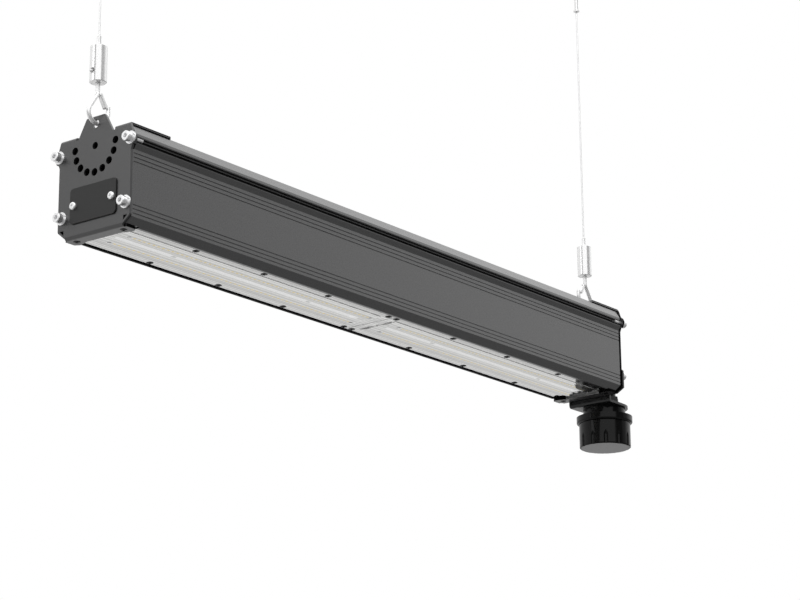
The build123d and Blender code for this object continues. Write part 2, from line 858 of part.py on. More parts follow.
with BuildPart() as driver_screws:
    with BuildSketch(Plane(origin=(driver_offset, 0, driver_low + driver_ear_thickness))):
        with Locations(*ear_points):
            Circle(plate_screw_head_radius)
    extrude(amount=plate_screw_head_height)
    with BuildSketch(Plane(origin=(driver_offset, 0, driver_low + driver_ear_thickness))):
        with Locations(*ear_points):
            Circle(driver_screw_radius)
    extrude(amount=-driver_ear_thickness)
keep(driver_screws.part, "driver_screws")

terminal_x = housing_end - terminal_from_end
way_pitch = terminal_length / terminal_ways
with BuildPart() as terminal_block:
    with Locations((terminal_x, 0, driver_low)):
        Box(
            terminal_length,
            terminal_width,
            terminal_height,
            align=(Align.CENTER, Align.CENTER, Align.MIN),
        )
    with BuildSketch(Plane(origin=(terminal_x, 0, driver_low + terminal_height))):
        with GridLocations(way_pitch, 0, terminal_ways, 1):
            Circle(terminal_screw_radius)
    extrude(amount=-terminal_screw_depth, mode=Mode.SUBTRACT)
    with BuildSketch(
        Plane(
            origin=(terminal_x, -terminal_width / 2, driver_low + terminal_entry_rise),
            x_dir=(1, 0, 0),
            z_dir=(0, -1, 0),
        )
    ):
        with GridLocations(way_pitch, 0, terminal_ways, 1):
            Rectangle(terminal_entry, terminal_entry)
    extrude(amount=-terminal_width, mode=Mode.SUBTRACT)
keep(terminal_block.part, "terminal_block")

# Cable gland: the lead's way in, with its seal and nuts


def gland_plane(x):
    """Cross-section plane at x, centred on the gland."""
    return Plane(origin=(x, gland_across, pivot_z + gland_rise), x_dir=(0, 1, 0), z_dir=(1, 0, 0))


gland_face = half_length + gland_hex_thickness
with BuildPart() as gland_body:
    with BuildSketch(gland_plane(half_length)):
        RegularPolygon(gland_hex_across_flats / 2, 6, major_radius=False)
    extrude(amount=gland_hex_thickness)
    with BuildSketch(gland_plane(half_length)):
        Circle(gland_thread_radius)
    extrude(amount=-gland_thread_length)
    with BuildSketch(gland_plane(gland_face)):
        Circle(gland_collar_radius)
    extrude(amount=gland_collar_length)
    with BuildSketch(gland_plane(half_length - gland_thread_length)):
        Circle(gland_bore_radius + gland_seal_wall)
    extrude(amount=gland_thread_length + gland_hex_thickness + gland_collar_length, mode=Mode.SUBTRACT)
keep(gland_body.part, "cable_gland_body")

with BuildPart() as gland_seal:
    with BuildSketch(gland_plane(gland_face)):
        Circle(gland_bore_radius + gland_seal_wall - fit_gap)
        Circle(gland_bore_radius, mode=Mode.SUBTRACT)
    extrude(amount=gland_collar_length)
keep(gland_seal.part, "cable_gland_seal")

with BuildPart() as gland_nut:
    with BuildSketch(gland_plane(gland_face + fit_gap)):
        RegularPolygon(gland_hex_across_flats / 2, 6, major_radius=False)
    extrude(amount=gland_nut_grip)
    with BuildSketch(gland_plane(gland_face + fit_gap + gland_nut_grip)):
        Circle(gland_hex_across_flats / 2)
    extrude(amount=gland_nut_dome, taper=gland_nut_taper)
    with BuildSketch(gland_plane(gland_face + fit_gap)):
        Circle(gland_collar_radius + fit_gap)
    extrude(amount=gland_collar_length + fit_gap, mode=Mode.SUBTRACT)
    with BuildSketch(gland_plane(gland_face)):
        Circle(gland_bore_radius + gland_nut_bore_gap)
    extrude(amount=2 * (gland_nut_grip + gland_nut_dome), mode=Mode.SUBTRACT)
keep(gland_nut.part, "cable_gland_nut")

with BuildPart() as gland_locknut:
    with BuildSketch(gland_plane(half_length - sheet)):
        RegularPolygon(gland_hex_across_flats / 2, 6, major_radius=False)
        Circle(gland_thread_radius + fit_gap, mode=Mode.SUBTRACT)
    extrude(amount=-gland_locknut_thickness)
keep(gland_locknut.part, "cable_gland_locknut")

# Sensor bracket: a wide leg under the right end plate's lower screws and a round-ended shelf
bracket_face = half_length + sheet
sensor_x = half_length + bracket_reach
shelf_low = pivot_z + bracket_low_rise
bracket_outline = [
    (bracket_half_width, bracket_top_rise),
    (bracket_half_width, bracket_side_rise),
    (bracket_bevel_half_width, bracket_bevel_rise),
    (bracket_foot_half_width, bracket_bevel_rise),
    (bracket_foot_half_width, bracket_low_rise),
]
with BuildPart() as sensor_bracket:
    with BuildSketch(section(half_length)):
        with BuildLine():
            Polyline(*both_sides(bracket_outline), close=True)
        make_face()
        with Locations(*screw_points[2:]):
            Circle(end_screw_radius + plate_hole_clearance, mode=Mode.SUBTRACT)
        with Locations((0, grommet_rise)):
            Circle(grommet_radius, mode=Mode.SUBTRACT)
    extrude(amount=sheet)
    top_corners = sensor_bracket.edges().filter_by(Axis.X).group_by(Axis.Z)[-1]
    fillet(top_corners, bracket_corner_radius)
    with BuildSketch(Plane.XY.offset(shelf_low)):
        with Locations((half_length, 0)):
            Rectangle(bracket_square_length, 2 * bracket_foot_half_width, align=(Align.MIN, Align.CENTER))
        with Locations((sensor_x, 0)):
            Circle(bracket_round_radius)
        make_hull()
        with Locations((sensor_x, 0)):
            Circle(sensor_stub_radius + sensor_hole_clearance, mode=Mode.SUBTRACT)
    extrude(amount=sheet)
    fillet(
        sensor_bracket.edges().filter_by(Axis.Y).group_by(Axis.Z)[0].sort_by(Axis.X)[0],
        bend_radius,
    )
keep(sensor_bracket.part, "sensor_bracket")

with BuildPart() as grommet:
    with BuildSketch(section(half_length - sheet - grommet_lip)):
        Circle(grommet_radius + grommet_lip)
    extrude(amount=grommet_lip)
    with BuildSketch(section(bracket_face)):
        Circle(grommet_radius + grommet_lip)
    extrude(amount=grommet_lip)
    with BuildSketch(section(half_length - sheet)):
        Circle(grommet_radius - fit_gap)
    extrude(amount=2 * sheet)
    with BuildSketch(section(half_length - sheet - grommet_lip)):
        Circle(grommet_bore)
    extrude(amount=2 * sheet + 2 * grommet_lip, mode=Mode.SUBTRACT)
keep(grommet.part.moved(Location((0, 0, grommet_rise))), "lead_grommet")

# Sensor base: threaded stub, neck and socket ring


def sensor_level(z):
    """Horizontal plane at z, centred on the sensor."""
    return Plane(origin=(sensor_x, 0, z))


ring_top = shelf_low - sensor_neck_length
ring_low = ring_top - sensor_ring_length
cap_top = ring_low - cap_gap
cap_low = cap_top - cap_length
stub_top = shelf_low + sheet + sensor_stub_rise
with BuildPart() as sensor_base:
    with BuildSketch(sensor_level(shelf_low)):
        Circle(sensor_neck_radius)
    extrude(amount=-sensor_neck_length)
    with BuildSketch(sensor_level(ring_top)):
        Circle(sensor_ring_radius)
    extrude(amount=-sensor_ring_length)
    fillet(sensor_base.edges().filter_by(GeomType.CIRCLE).group_by(Axis.Z)[0], sensor_ring_edge)
    with BuildSketch(sensor_level(shelf_low)):
        Circle(sensor_stub_radius)
    extrude(amount=sheet + sensor_stub_rise)
    chamfer(sensor_base.edges().group_by(Axis.Z)[-1], sensor_stub_chamfer)
    with BuildSketch(sensor_level(ring_low)):
        Circle(socket_radius)
    extrude(amount=socket_depth, mode=Mode.SUBTRACT)
    with BuildSketch(sensor_level(stub_top)):
        Circle(sensor_stub_bore)
    extrude(amount=ring_low + socket_depth - stub_top, mode=Mode.SUBTRACT)
keep(sensor_base.part, "sensor_base")

with BuildPart() as sensor_nut:
    with BuildSketch(sensor_level(shelf_low + sheet)):
        RegularPolygon(sensor_nut_radius, 6, major_radius=False, rotation=30)
        Circle(sensor_stub_radius + fit_gap, mode=Mode.SUBTRACT)
    extrude(amount=sensor_nut_thickness)
keep(sensor_nut.part, "sensor_nut")

# Sensor head: fluted cap, plug with contact pins and circuit board
with BuildPart() as flute:
    with BuildSketch(Plane.XZ):
        with BuildLine():
            Polyline(
                (0, 0),
                (cap_flute_radius, 0),
                (cap_flute_radius, cap_flute_height - cap_flute_tip),
                (0, cap_flute_height),
                close=True,
            )
        make_face()
    revolve(axis=Axis.Z)

cap_room = cap_radius - cap_wall
flute_circle = cap_radius + cap_flute_radius - cap_flute_depth
with BuildPart() as sensor_cap:
    with BuildSketch(sensor_level(cap_low)):
        Circle(cap_radius)
    extrude(amount=cap_length)
    fillet(sensor_cap.edges().group_by(Axis.Z)[0], cap_edge_radius)
    with BuildSketch(sensor_level(cap_top)):
        Circle(cap_room)
    extrude(amount=-(cap_length - cap_wall), mode=Mode.SUBTRACT)
    with Locations((sensor_x, 0, cap_low)):
        with PolarLocations(flute_circle, cap_flute_count, cap_flute_turn):
            add(flute.part, mode=Mode.SUBTRACT)
keep(sensor_cap.part, "sensor_cap")

plug_low = cap_top - plug_thickness
with BuildPart() as sensor_plug:
    with BuildSketch(sensor_level(plug_low)):
        Circle(cap_room - fit_gap / 2)
    extrude(amount=plug_thickness)
    with BuildSketch(sensor_level(cap_top)):
        Circle(socket_radius - cap_gap)
    extrude(amount=socket_depth)
keep(sensor_plug.part, "sensor_plug")

with BuildPart() as sensor_board:
    with BuildSketch(sensor_level(plug_low)):
        Circle(cap_room - sensor_board_gap)
    extrude(amount=-sensor_board_thickness)
keep(sensor_board.part, "sensor_board")

# Suspension at the left end; the right one is the same, turned half round
hang_x = -hang_half_spacing
hang_plane = Plane(origin=(hang_x, 0, 0), x_dir=(1, 0, 0), z_dir=(0, -1, 0))
knee_z = gripper_top - knee_drop
tail_end = (-tail_reach, knee_z - tail_reach * tan(radians(tail_fall_angle)))


def ring_level(z):
    """Horizontal plane at z, centred on the left hanging axis."""
    return Plane(origin=(hang_x, 0, z))


def wire_tube(radius, start_z):
    """Round bar along the wire's route, from start_z down to the knee and out to the tail's end."""
    with BuildPart() as tube:
        with BuildLine(hang_plane):
            FilletPolyline((0, start_z), (0, knee_z), tail_end, radius=wire_knee_radius)
        with BuildSketch(Plane(origin=(hang_x, 0, start_z), z_dir=(0, 0, -1))):
            Circle(radius)
        sweep()
    return tube.part


with BuildPart() as ceiling_fitting:
    with BuildSketch(ring_level(0)):
        Circle(fitting_barrel_radius)
    extrude(amount=-fitting_barrel_length)
    chamfer(ceiling_fitting.edges().group_by(Axis.Z)[0], fitting_chamfer)
    with BuildSketch(ring_level(-fitting_barrel_length)):
        Circle(fitting_sleeve_radius)
    extrude(amount=-fitting_sleeve_length)
    with BuildSketch(ring_level(fitting_bottom)):
        Circle(fitting_rim_radius)
    extrude(amount=fitting_rim_length)
    chamfer(ceiling_fitting.edges().group_by(Axis.Z)[0].sort_by(SortBy.LENGTH)[-1], fitting_rim_chamfer)
    with BuildSketch(ring_level(0)):
        Circle(fitting_thread_radius)
    extrude(amount=-fitting_thread_depth, mode=Mode.SUBTRACT)
    with BuildSketch(ring_level(fitting_bottom)):
        Circle(wire_radius + wire_seat)
    extrude(amount=wire_inside_fitting + wire_end_gap, mode=Mode.SUBTRACT)

wire = wire_tube(wire_radius, fitting_bottom + wire_inside_fitting)

neck_low = gripper_top - gripper_neck_depth
collar_top = neck_low - plunger_top_gap
chamber_low = collar_top - plunger_collar_length - plunger_travel - spring_shut_length
core_low = chamber_low - core_length
with BuildPart() as gripper_body:
    with BuildSketch(ring_level(gripper_bottom)):
        Circle(gripper_radius)
    extrude(amount=gripper_length)
    chamfer(gripper_body.edges().filter_by(GeomType.CIRCLE), gripper_chamfer)
    with BuildSketch(ring_level(gripper_bottom)):
        Circle(gripper_bore)
    extrude(amount=chamber_low - gripper_bottom, mode=Mode.SUBTRACT)
    with BuildSketch(ring_level(chamber_low)):
        Circle(plunger_collar_radius + plunger_clearance)
    extrude(amount=neck_low - chamber_low, mode=Mode.SUBTRACT)
    with BuildSketch(ring_level(neck_low)):
        Circle(plunger_radius + plunger_clearance)
    extrude(amount=gripper_neck_depth, mode=Mode.SUBTRACT)
    add(wire_tube(tail_hole_radius, chamber_low), mode=Mode.SUBTRACT)

with BuildPart() as gripper_core:
    with BuildSketch(ring_level(core_low)):
        Circle(gripper_bore - fit_gap)
    extrude(amount=core_length - fit_gap)
    add(wire_tube(tail_channel_radius, chamber_low), mode=Mode.SUBTRACT)

with BuildPart() as gripper_plug:
    with BuildSketch(ring_level(gripper_bottom)):
        Circle(gripper_bore - fit_gap / 2)
        Circle(hook_wire_radius + stem_clearance, mode=Mode.SUBTRACT)
    extrude(amount=plug_length)

with BuildPart() as plunger:
    with BuildSketch(ring_level(collar_top)):
        Circle(plunger_collar_radius)
    extrude(amount=-plunger_collar_length)
    with BuildSketch(ring_level(collar_top)):
        Circle(plunger_radius)
    extrude(amount=plunger_top - collar_top)
    chamfer(plunger.edges().group_by(Axis.Z)[-1], plunger_chamfer)
    with BuildSketch(ring_level(plunger_top)):
        Circle(plunger_bore)
    extrude(amount=-(plunger_top - collar_top + plunger_collar_length), mode=Mode.SUBTRACT)

spring_low = chamber_low + fit_gap
spring_top = collar_top - plunger_collar_length - fit_gap
spring_radius = plunger_collar_radius - spring_wire
spring_height = spring_top - spring_low - spring_wire
with BuildPart() as plunger_spring:
    with BuildLine():
        Helix(
            pitch=spring_height / spring_turns,
            height=spring_height,
            radius=spring_radius,
            center=(hang_x, 0, spring_low + spring_wire / 2),
        )
    with BuildSketch(
        Plane(
            origin=(hang_x + spring_radius, 0, spring_low + spring_wire / 2),
            x_dir=(1, 0, 0),
            z_dir=(0, 1, 0),
        )
    ):
        Rectangle(spring_wire, spring_wire)
    sweep(is_frenet=True)

# Snap hook: one bent wire with a collar, a lug for the gate and a loop through the tab
collar_z = gripper_bottom + plug_length + hook_collar_gap
pivot_point = (lug_offset, stem_bottom - lug_drop)
with BuildPart() as hook:
    with BuildLine(hang_plane) as hook_route:
        stem = Line((0, collar_z), (0, stem_bottom))
        neck = JernArc(stem @ 1, stem % 1, hook_neck_radius, -hook_neck_turn)
        back = Line(neck @ 1, neck @ 1 + (neck % 1) * back_length)
        heel = JernArc(back @ 1, back % 1, hook_back_radius, 90 + hook_neck_turn)
        toe = JernArc(heel @ 1, heel % 1, hook_front_radius, 90)
        Line(toe @ 1, toe @ 1 + (toe % 1) * hook_nose_length)
    with BuildSketch(Plane(origin=(hang_x, 0, collar_z), z_dir=(0, 0, -1))):
        Circle(hook_wire_radius)
    sweep(path=hook_route.wires()[0])
    nose_rim = hook.faces().filter_by(Plane.XY).group_by(Axis.Z)[0].edges()
    fillet(nose_rim, hook_nose_round)
    with BuildSketch(ring_level(collar_z)):
        Circle(hook_collar_radius)
    extrude(amount=hook_collar_length)
    with BuildSketch(hang_plane.offset(-lug_thickness / 2)):
        with Locations(pivot_point):
            Circle(lug_radius)
        with Locations((pivot_point[0] / 2, pivot_point[1] + lug_radius / 2)):
            Rectangle(pivot_point[0], lug_radius)
        with Locations(pivot_point):
            Circle(gate_pin_radius + gate_pin_clearance, mode=Mode.SUBTRACT)
    extrude(amount=lug_thickness)

nose_inner = hook_front_radius - hook_loop_offset - hook_wire_radius
gate_tip_u = nose_inner - gate_nose_gap - gate_tip_radius
gate_turn = degrees(acos((gate_tip_u - lug_offset) / gate_length))
gate_direction = (cos(radians(gate_turn)), 0, -sin(radians(gate_turn)))
gate_plane = Plane(
    origin=(hang_x + pivot_point[0], gate_thickness / 2, pivot_point[1]),
    x_dir=gate_direction,
    z_dir=(0, -1, 0),
)
fork_width = lug_thickness + 2 * gate_gap
fork_plane = gate_plane.offset((gate_thickness - fork_width) / 2)
with BuildPart() as gate:
    with BuildSketch(gate_plane):
        Circle(gate_pivot_radius)
        with Locations((gate_length, 0)):
            Circle(gate_tip_radius)
        make_hull()
    extrude(amount=gate_thickness)
    fillet(gate.faces().filter_by(Axis.Y).edges(), gate_edge_radius)
    with BuildSketch(gate_plane):
        Circle(gate_pin_radius + gate_pin_clearance)
    extrude(amount=gate_thickness, mode=Mode.SUBTRACT)
    with BuildSketch(fork_plane):
        with Locations((gate_fork_depth, 0)):
            Rectangle(2 * gate_fork_depth, 4 * gate_tip_radius, align=(Align.MAX, Align.CENTER))
    extrude(amount=fork_width, mode=Mode.SUBTRACT)

with BuildPart() as gate_pin:
    with BuildSketch(gate_plane):
        Circle(gate_pin_radius)
    extrude(amount=gate_thickness)
    with BuildSketch(gate_plane):
        Circle(gate_pin_head_radius)
    extrude(amount=-gate_pin_head_thickness)
    with BuildSketch(gate_plane.offset(gate_thickness)):
        Circle(gate_pin_head_radius)
    extrude(amount=gate_pin_head_thickness)

with BuildPart() as gate_spring:
    with BuildSketch(fork_plane.offset(fit_gap)):
        with Locations((gate_fork_depth, 0)):
            Rectangle(gate_spring_thickness, gate_spring_width, align=(Align.MAX, Align.CENTER))
    extrude(amount=fork_width - 2 * fit_gap)

suspension = {
    "ceiling_fitting": ceiling_fitting.part,
    "wire": wire,
    "gripper_body": gripper_body.part,
    "gripper_core": gripper_core.part,
    "gripper_plug": gripper_plug.part,
    "plunger": plunger.part,
    "plunger_spring": plunger_spring.part,
    "hook": hook.part,
    "gate": gate.part,
    "gate_pin": gate_pin.part,
    "gate_spring": gate_spring.part,
}
for piece, part in suspension.items():
    keep(part, f"left_{piece}")
    keep(turned(part), f"right_{piece}")
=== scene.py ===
# %% [markdown]
# A linear high bay light, hung on two thin wires. The solid model is the fixed frame: this lesson
# loads it, gives every piece a finish, models what the solids keep plain, such as the twisted
# wires, and lights the whole in a white studio.

# %% Load the frame
import math

import bpy
import numpy as np
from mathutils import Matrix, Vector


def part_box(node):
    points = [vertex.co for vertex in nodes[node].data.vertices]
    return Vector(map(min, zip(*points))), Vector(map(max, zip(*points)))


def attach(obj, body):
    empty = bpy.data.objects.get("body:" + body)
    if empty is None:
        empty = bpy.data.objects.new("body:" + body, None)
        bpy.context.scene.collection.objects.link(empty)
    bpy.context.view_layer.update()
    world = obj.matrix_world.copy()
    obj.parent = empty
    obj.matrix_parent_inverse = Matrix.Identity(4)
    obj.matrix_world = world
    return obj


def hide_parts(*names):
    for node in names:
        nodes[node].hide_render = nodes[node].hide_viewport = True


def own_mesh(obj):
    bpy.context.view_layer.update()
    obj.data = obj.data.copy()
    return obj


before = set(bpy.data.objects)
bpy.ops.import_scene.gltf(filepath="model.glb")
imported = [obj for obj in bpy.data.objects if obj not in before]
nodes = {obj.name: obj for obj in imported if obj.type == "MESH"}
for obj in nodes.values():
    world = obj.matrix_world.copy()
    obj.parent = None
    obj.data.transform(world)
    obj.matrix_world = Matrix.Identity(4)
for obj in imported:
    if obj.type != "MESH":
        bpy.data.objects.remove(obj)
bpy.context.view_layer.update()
SIDES = ("left", "right")
print("nodes in the frame:", len(nodes))

# %% [markdown]
# The camera comes first, because everything else is judged through it. It stands below and in
# front of the name plate's end and looks up along the light with a long lens. The frame of the
# photo is a little off the optical axis, which the two shifts give.

# %% Camera


def placed(name, data):
    """An object with that data, at the origin and in the scene."""
    thing = bpy.data.objects.new(name, data)
    bpy.context.scene.collection.objects.link(thing)
    return thing


camera_data = bpy.data.cameras.new("camera")
camera_data.sensor_width = 36.0
camera_data.lens = 114.24
camera_data.shift_x = 0.0163
camera_data.shift_y = -0.0523
camera_data.clip_end = 50.0
camera = placed("camera", camera_data)
camera.location = (-1.46105, -1.15578, -0.9036)
camera.rotation_euler = [math.radians(turn) for turn in (107.100, 0.420, -51.933)]
bpy.context.scene.camera = camera
print("camera lens:", round(camera_data.lens, 2), "mm")

# %% [markdown]
# The suspension wire is a steel rope of a few twisted strands. It runs straight down into the
# gripper's plunger, turns inside the gripper and leaves through the side as a short tail. The
# route's points are those of the solid model, as reach from the wire's axis and height. They
# steer a NURBS spline, which Blender turns into a line of points that is read back here.

# %% Wire route
HANG_X = -0.299
WIRE_TOP = -0.014
KNEE_DROP = 0.0161
KNEE_LEAD = 0.009
TAIL_REACH = 0.0079
TAIL_FALL = math.radians(25.0)
knee_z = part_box("left_gripper_body")[1][2] - KNEE_DROP
wire_points = [
    (0.0, WIRE_TOP),
    (0.0, knee_z + KNEE_LEAD),
    (0.0, knee_z),
    (-TAIL_REACH, knee_z - TAIL_REACH * math.tan(TAIL_FALL)),
]
SPLINE_STEPS = 48


def spline_line(points):
    """The smooth line of a NURBS spline whose control points are given, as an array of places."""
    curve = bpy.data.curves.new("route", "CURVE")
    curve.dimensions = "3D"
    curve.resolution_u = SPLINE_STEPS
    spline = curve.splines.new("NURBS")
    spline.points.add(len(points) - 1)
    for control, place in zip(spline.points, points):
        control.co = (*place, 1.0)
    spline.order_u = 3
    spline.use_endpoint_u = True
    holder = bpy.data.objects.new("route", curve)
    mesh = bpy.data.meshes.new_from_object(holder)
    line = np.empty(3 * len(mesh.vertices))
    mesh.vertices.foreach_get("co", line)
    bpy.data.objects.remove(holder)
    bpy.data.curves.remove(curve)
    bpy.data.meshes.remove(mesh)
    return line.reshape(-1, 3)


def resample(line, step):
    """Places a step apart along a line: each coordinate is interpolated by the run so far."""
    runs = np.linalg.norm(np.diff(line, axis=0), axis=1)
    run = np.concatenate([[0.0], np.cumsum(runs)])
    at = np.linspace(0.0, run[-1], max(2, int(run[-1] / step)))
    return np.stack([np.interp(at, run, line[:, k]) for k in range(3)], axis=1), at


print("the wire turns inside its gripper at z", round(float(knee_z), 4))

# %% [markdown]
# A rope is a grid of points: one direction runs round its section and the other along its line.
# This helper turns such a grid into a closed mesh, with a cap at each end.

# %% Grid to mesh


def grid_mesh(name, grid):
    """A closed tube from a grid of places, indexed by ring and by corner, with a cap on each end.

    The face between ring i and i + 1 and corner j and j + 1 takes the four places around it.
    """
    rings, corners = grid.shape[:2]
    index = np.arange(rings * corners).reshape(rings, corners)
    ahead = np.roll(index, -1, axis=1)
    sides = np.stack([index[:-1], ahead[:-1], ahead[1:], index[1:]], axis=-1).reshape(-1, 4)
    places = grid.reshape(-1, 3)
    ends = np.stack([grid[0].mean(0), grid[-1].mean(0)])
    low, high = rings * corners, rings * corners + 1
    first = np.stack([ahead[0], index[0], np.full(corners, low)], axis=-1)
    last = np.stack([index[-1], ahead[-1], np.full(corners, high)], axis=-1)
    mesh = bpy.data.meshes.new(name)
    mesh.from_pydata(
        np.concatenate([places, ends]).tolist(),
        [],
        sides.tolist() + first.tolist() + last.tolist(),
    )
    mesh.shade_smooth()
    return placed(name, mesh)


# %% [markdown]
# A plain tube would show no strands at its outline, so the rope's section has one lobe for each
# strand, and the section turns as it goes along the line, which makes the twist. Each wire's
# length is measured along that line.

# %% Twisted wires
WIRE_RADIUS = 0.00075
STRANDS = 6
CORNERS_A_STRAND = 4
LOBE_DEPTH = 0.1
TWIST_PITCH = 0.0075
ROPE_STEP = 0.0006


def rope(name, points):
    """A twisted rope: its radius at angle t and run s is r (1 - d |sin(n (t - turn s) / 2)|)."""
    line, run = resample(spline_line(points), ROPE_STEP)
    along = np.gradient(line, axis=0)
    along /= np.linalg.norm(along, axis=1)[:, None]
    across = np.tile([0.0, 1.0, 0.0], (len(line), 1))
    third = np.cross(along, across)
    angle = np.linspace(0.0, 2 * math.pi, CORNERS_A_STRAND * STRANDS, endpoint=False)
    phase = STRANDS / 2 * (angle[None, :] - 2 * math.pi * run[:, None] / TWIST_PITCH)
    radius = WIRE_RADIUS * (1.0 - LOBE_DEPTH * np.abs(np.sin(phase)))
    section = (
        np.cos(angle)[None, :, None] * across[:, None, :]
        + np.sin(angle)[None, :, None] * third[:, None, :]
    )
    grid = line[:, None, :] + radius[:, :, None] * section
    return grid_mesh(name, grid), line, float(run[-1])


wires = {}
for side, flip in zip(SIDES, (1.0, -1.0)):
    route = [(flip * (HANG_X + across), 0.0, height) for across, height in wire_points]
    wire, line, length = rope(f"{side}_twisted_wire", route)
    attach(wire, f"{side}_gripper_unit")
    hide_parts(f"{side}_wire")
    wires[side] = wire
    print(wire.name, "is", round(length, 4), "m long")

# %% [markdown]
# Materials are small node trees. A few helpers keep them short: they make an empty material with
# its main shader, give the parts of a coordinate, and add a noise that is measured in the
# object's own metres, stretched along any axis. Noise goes into bump and roughness, so that a
# black surface still shows the grain of its powder coat when light grazes it.

# %% Material helpers


def new_material(name, **values):
    """A material whose main shader has the given socket values."""
    made = bpy.data.materials.new(name)
    made.use_nodes = True
    shader = made.node_tree.nodes["Principled BSDF"]
    for socket, value in values.items():
        shader.inputs[socket].default_value = value
    return made, shader


def parts_of(tree, output):
    """X, Y and Z of a texture coordinate: Object is the place in metres, Normal the facing."""
    place = tree.nodes.new("ShaderNodeTexCoord")
    split = tree.nodes.new("ShaderNodeSeparateXYZ")
    tree.links.new(place.outputs[output], split.inputs["Vector"])
    return split.outputs["X"], split.outputs["Y"], split.outputs["Z"]


def object_noise(tree, cells, stretch=(1.0, 1.0, 1.0), detail=2.0):
    """Noise over the object's own coordinates, in cells to a metre; a stretch under 1 widens."""
    place = tree.nodes.new("ShaderNodeTexCoord")
    mapping = tree.nodes.new("ShaderNodeMapping")
    mapping.inputs["Scale"].default_value = stretch
    noise = tree.nodes.new("ShaderNodeTexNoise")
    noise.inputs["Scale"].default_value = cells
    noise.inputs["Detail"].default_value = detail
    tree.links.new(place.outputs["Object"], mapping.inputs["Vector"])
    tree.links.new(mapping.outputs["Vector"], noise.inputs["Vector"])
    return noise.outputs["Fac"]


def ranged(tree, value, low, high, from_low=0.3, from_high=0.7):
    """A value brought linearly from one range to another; noise lies mostly in 0.3 to 0.7."""
    ramp = tree.nodes.new("ShaderNodeMapRange")
    ramp.inputs["From Min"].default_value = from_low
    ramp.inputs["From Max"].default_value = from_high
    ramp.inputs["To Min"].default_value = low
    ramp.inputs["To Max"].default_value = high
    tree.links.new(value, ramp.inputs["Value"])
    return ramp.outputs["Result"]


def mixed(tree, factor, first, second, way="MIX"):
    """A colour between two, by a factor. Each of the two is a colour or a socket."""
    mix = tree.nodes.new("ShaderNodeMix")
    mix.data_type = "RGBA"
    mix.blend_type = way
    tree.links.new(factor, mix.inputs["Factor"])
    for socket, value in ((mix.inputs[6], first), (mix.inputs[7], second)):
        if isinstance(value, tuple):
            socket.default_value = (*value, 1.0)
        else:
            tree.links.new(value, socket)
    return mix.outputs[2]


def bumped(tree, shader, height, distance, strength):
    """Bump on the main shader from a height, distance in metres."""
    bump = tree.nodes.new("ShaderNodeBump")
    bump.inputs["Distance"].default_value = distance
    bump.inputs["Strength"].default_value = strength
    tree.links.new(height, bump.inputs["Height"])
    tree.links.new(bump.outputs["Normal"], shader.inputs["Normal"])


# %% [markdown]
# Some colours change from place to place, such as the painted shade inside a hollow. A mask is 1
# in such a place and 0 elsewhere. It could be painted in an image, but it is worked out from the
# object's own coordinates, so that it needs no image and stays put when the part moves.

# %% Masks


def maths(tree, operation, first, second=None):
    """One Math node: its inputs are sockets or numbers."""
    node = tree.nodes.new("ShaderNodeMath")
    node.operation = operation
    for socket, value in zip(node.inputs, (first, second)):
        if isinstance(value, (int, float)):
            socket.default_value = value
        elif value is not None:
            tree.links.new(value, socket)
    return node.outputs[0]


def unsigned(tree, value):
    """A value without its sign."""
    return maths(tree, "ABSOLUTE", value)


def off(tree, value, middle):
    """How far a value lies from a middle."""
    return unsigned(tree, maths(tree, "SUBTRACT", value, middle))


def below(tree, value, limit):
    """1 where a value is under a limit."""
    return maths(tree, "LESS_THAN", value, limit)


def above(tree, value, limit):
    """1 where a value is over a limit."""
    return maths(tree, "GREATER_THAN", value, limit)


def within(tree, value, middle, half):
    """1 where a value lies within half of the middle."""
    return below(tree, off(tree, value, middle), half)


def times(tree, *masks):
    """The product of masks: 1 where each of them is."""
    product = masks[0]
    for mask in masks[1:]:
        product = maths(tree, "MULTIPLY", product, mask)
    return product


def outside(tree, mask):
    """1 where a mask is 0."""
    return maths(tree, "SUBTRACT", 1.0, mask)


def faces_down(tree):
    """1 on faces that look down, where the normal's Z is under -0.5."""
    return below(tree, parts_of(tree, "Normal")[2], -0.5)


# %% [markdown]
# Powder coat is melted powder: satin, never quite flat, with a grain of a fraction of a
# millimetre. The colour drifts slowly, and roughness and bump follow the grain. The housing is
# drawn through a die, so its drift is stretched along its length.

# %% Powder coat
COAT_IOR = 2.2
MATT_IOR = 1.05
DRIFT_CELLS = 30.0
GRAIN_CELLS = 2600.0
GRAIN_DEPTH = 0.00005
GRAIN_STRENGTH = 0.4
GRAIN_ROUGHNESS = 0.05
ALONG_X = (0.02, 1, 1)


def grey(tone):
    """A colour without a hue."""
    return (tone, tone, tone)


def powder_coat(name, dark, light, rough, ior=COAT_IOR, streaks=(1.0, 1.0, 1.0)):
    """A satin coat: colour drifts from dark to light, roughness keeps near a middle value."""
    made, shader = new_material(name, IOR=ior)
    tree = made.node_tree
    drift = object_noise(tree, DRIFT_CELLS, streaks)
    grain = object_noise(tree, GRAIN_CELLS, detail=1.0)
    tree.links.new(mixed(tree, drift, dark, light), shader.inputs["Base Color"])
    spread = ranged(tree, grain, rough - GRAIN_ROUGHNESS, rough + GRAIN_ROUGHNESS)
    tree.links.new(spread, shader.inputs["Roughness"])
    bumped(tree, shader, grain, GRAIN_DEPTH, GRAIN_STRENGTH)
    return made


def darken(made, mask, shade, ior=COAT_IOR):
    """Where the mask is 1, the coat's colour is multiplied by the shade and nothing mirrors."""
    tree = made.node_tree
    shader = tree.nodes["Principled BSDF"]
    coat = shader.inputs["Base Color"].links[0].from_socket
    shaded = mixed(tree, mask, coat, grey(shade), "MULTIPLY")
    tree.links.new(shaded, shader.inputs["Base Color"])
    tree.links.new(ranged(tree, mask, ior, MATT_IOR, 0.0, 1.0), shader.inputs["IOR"])


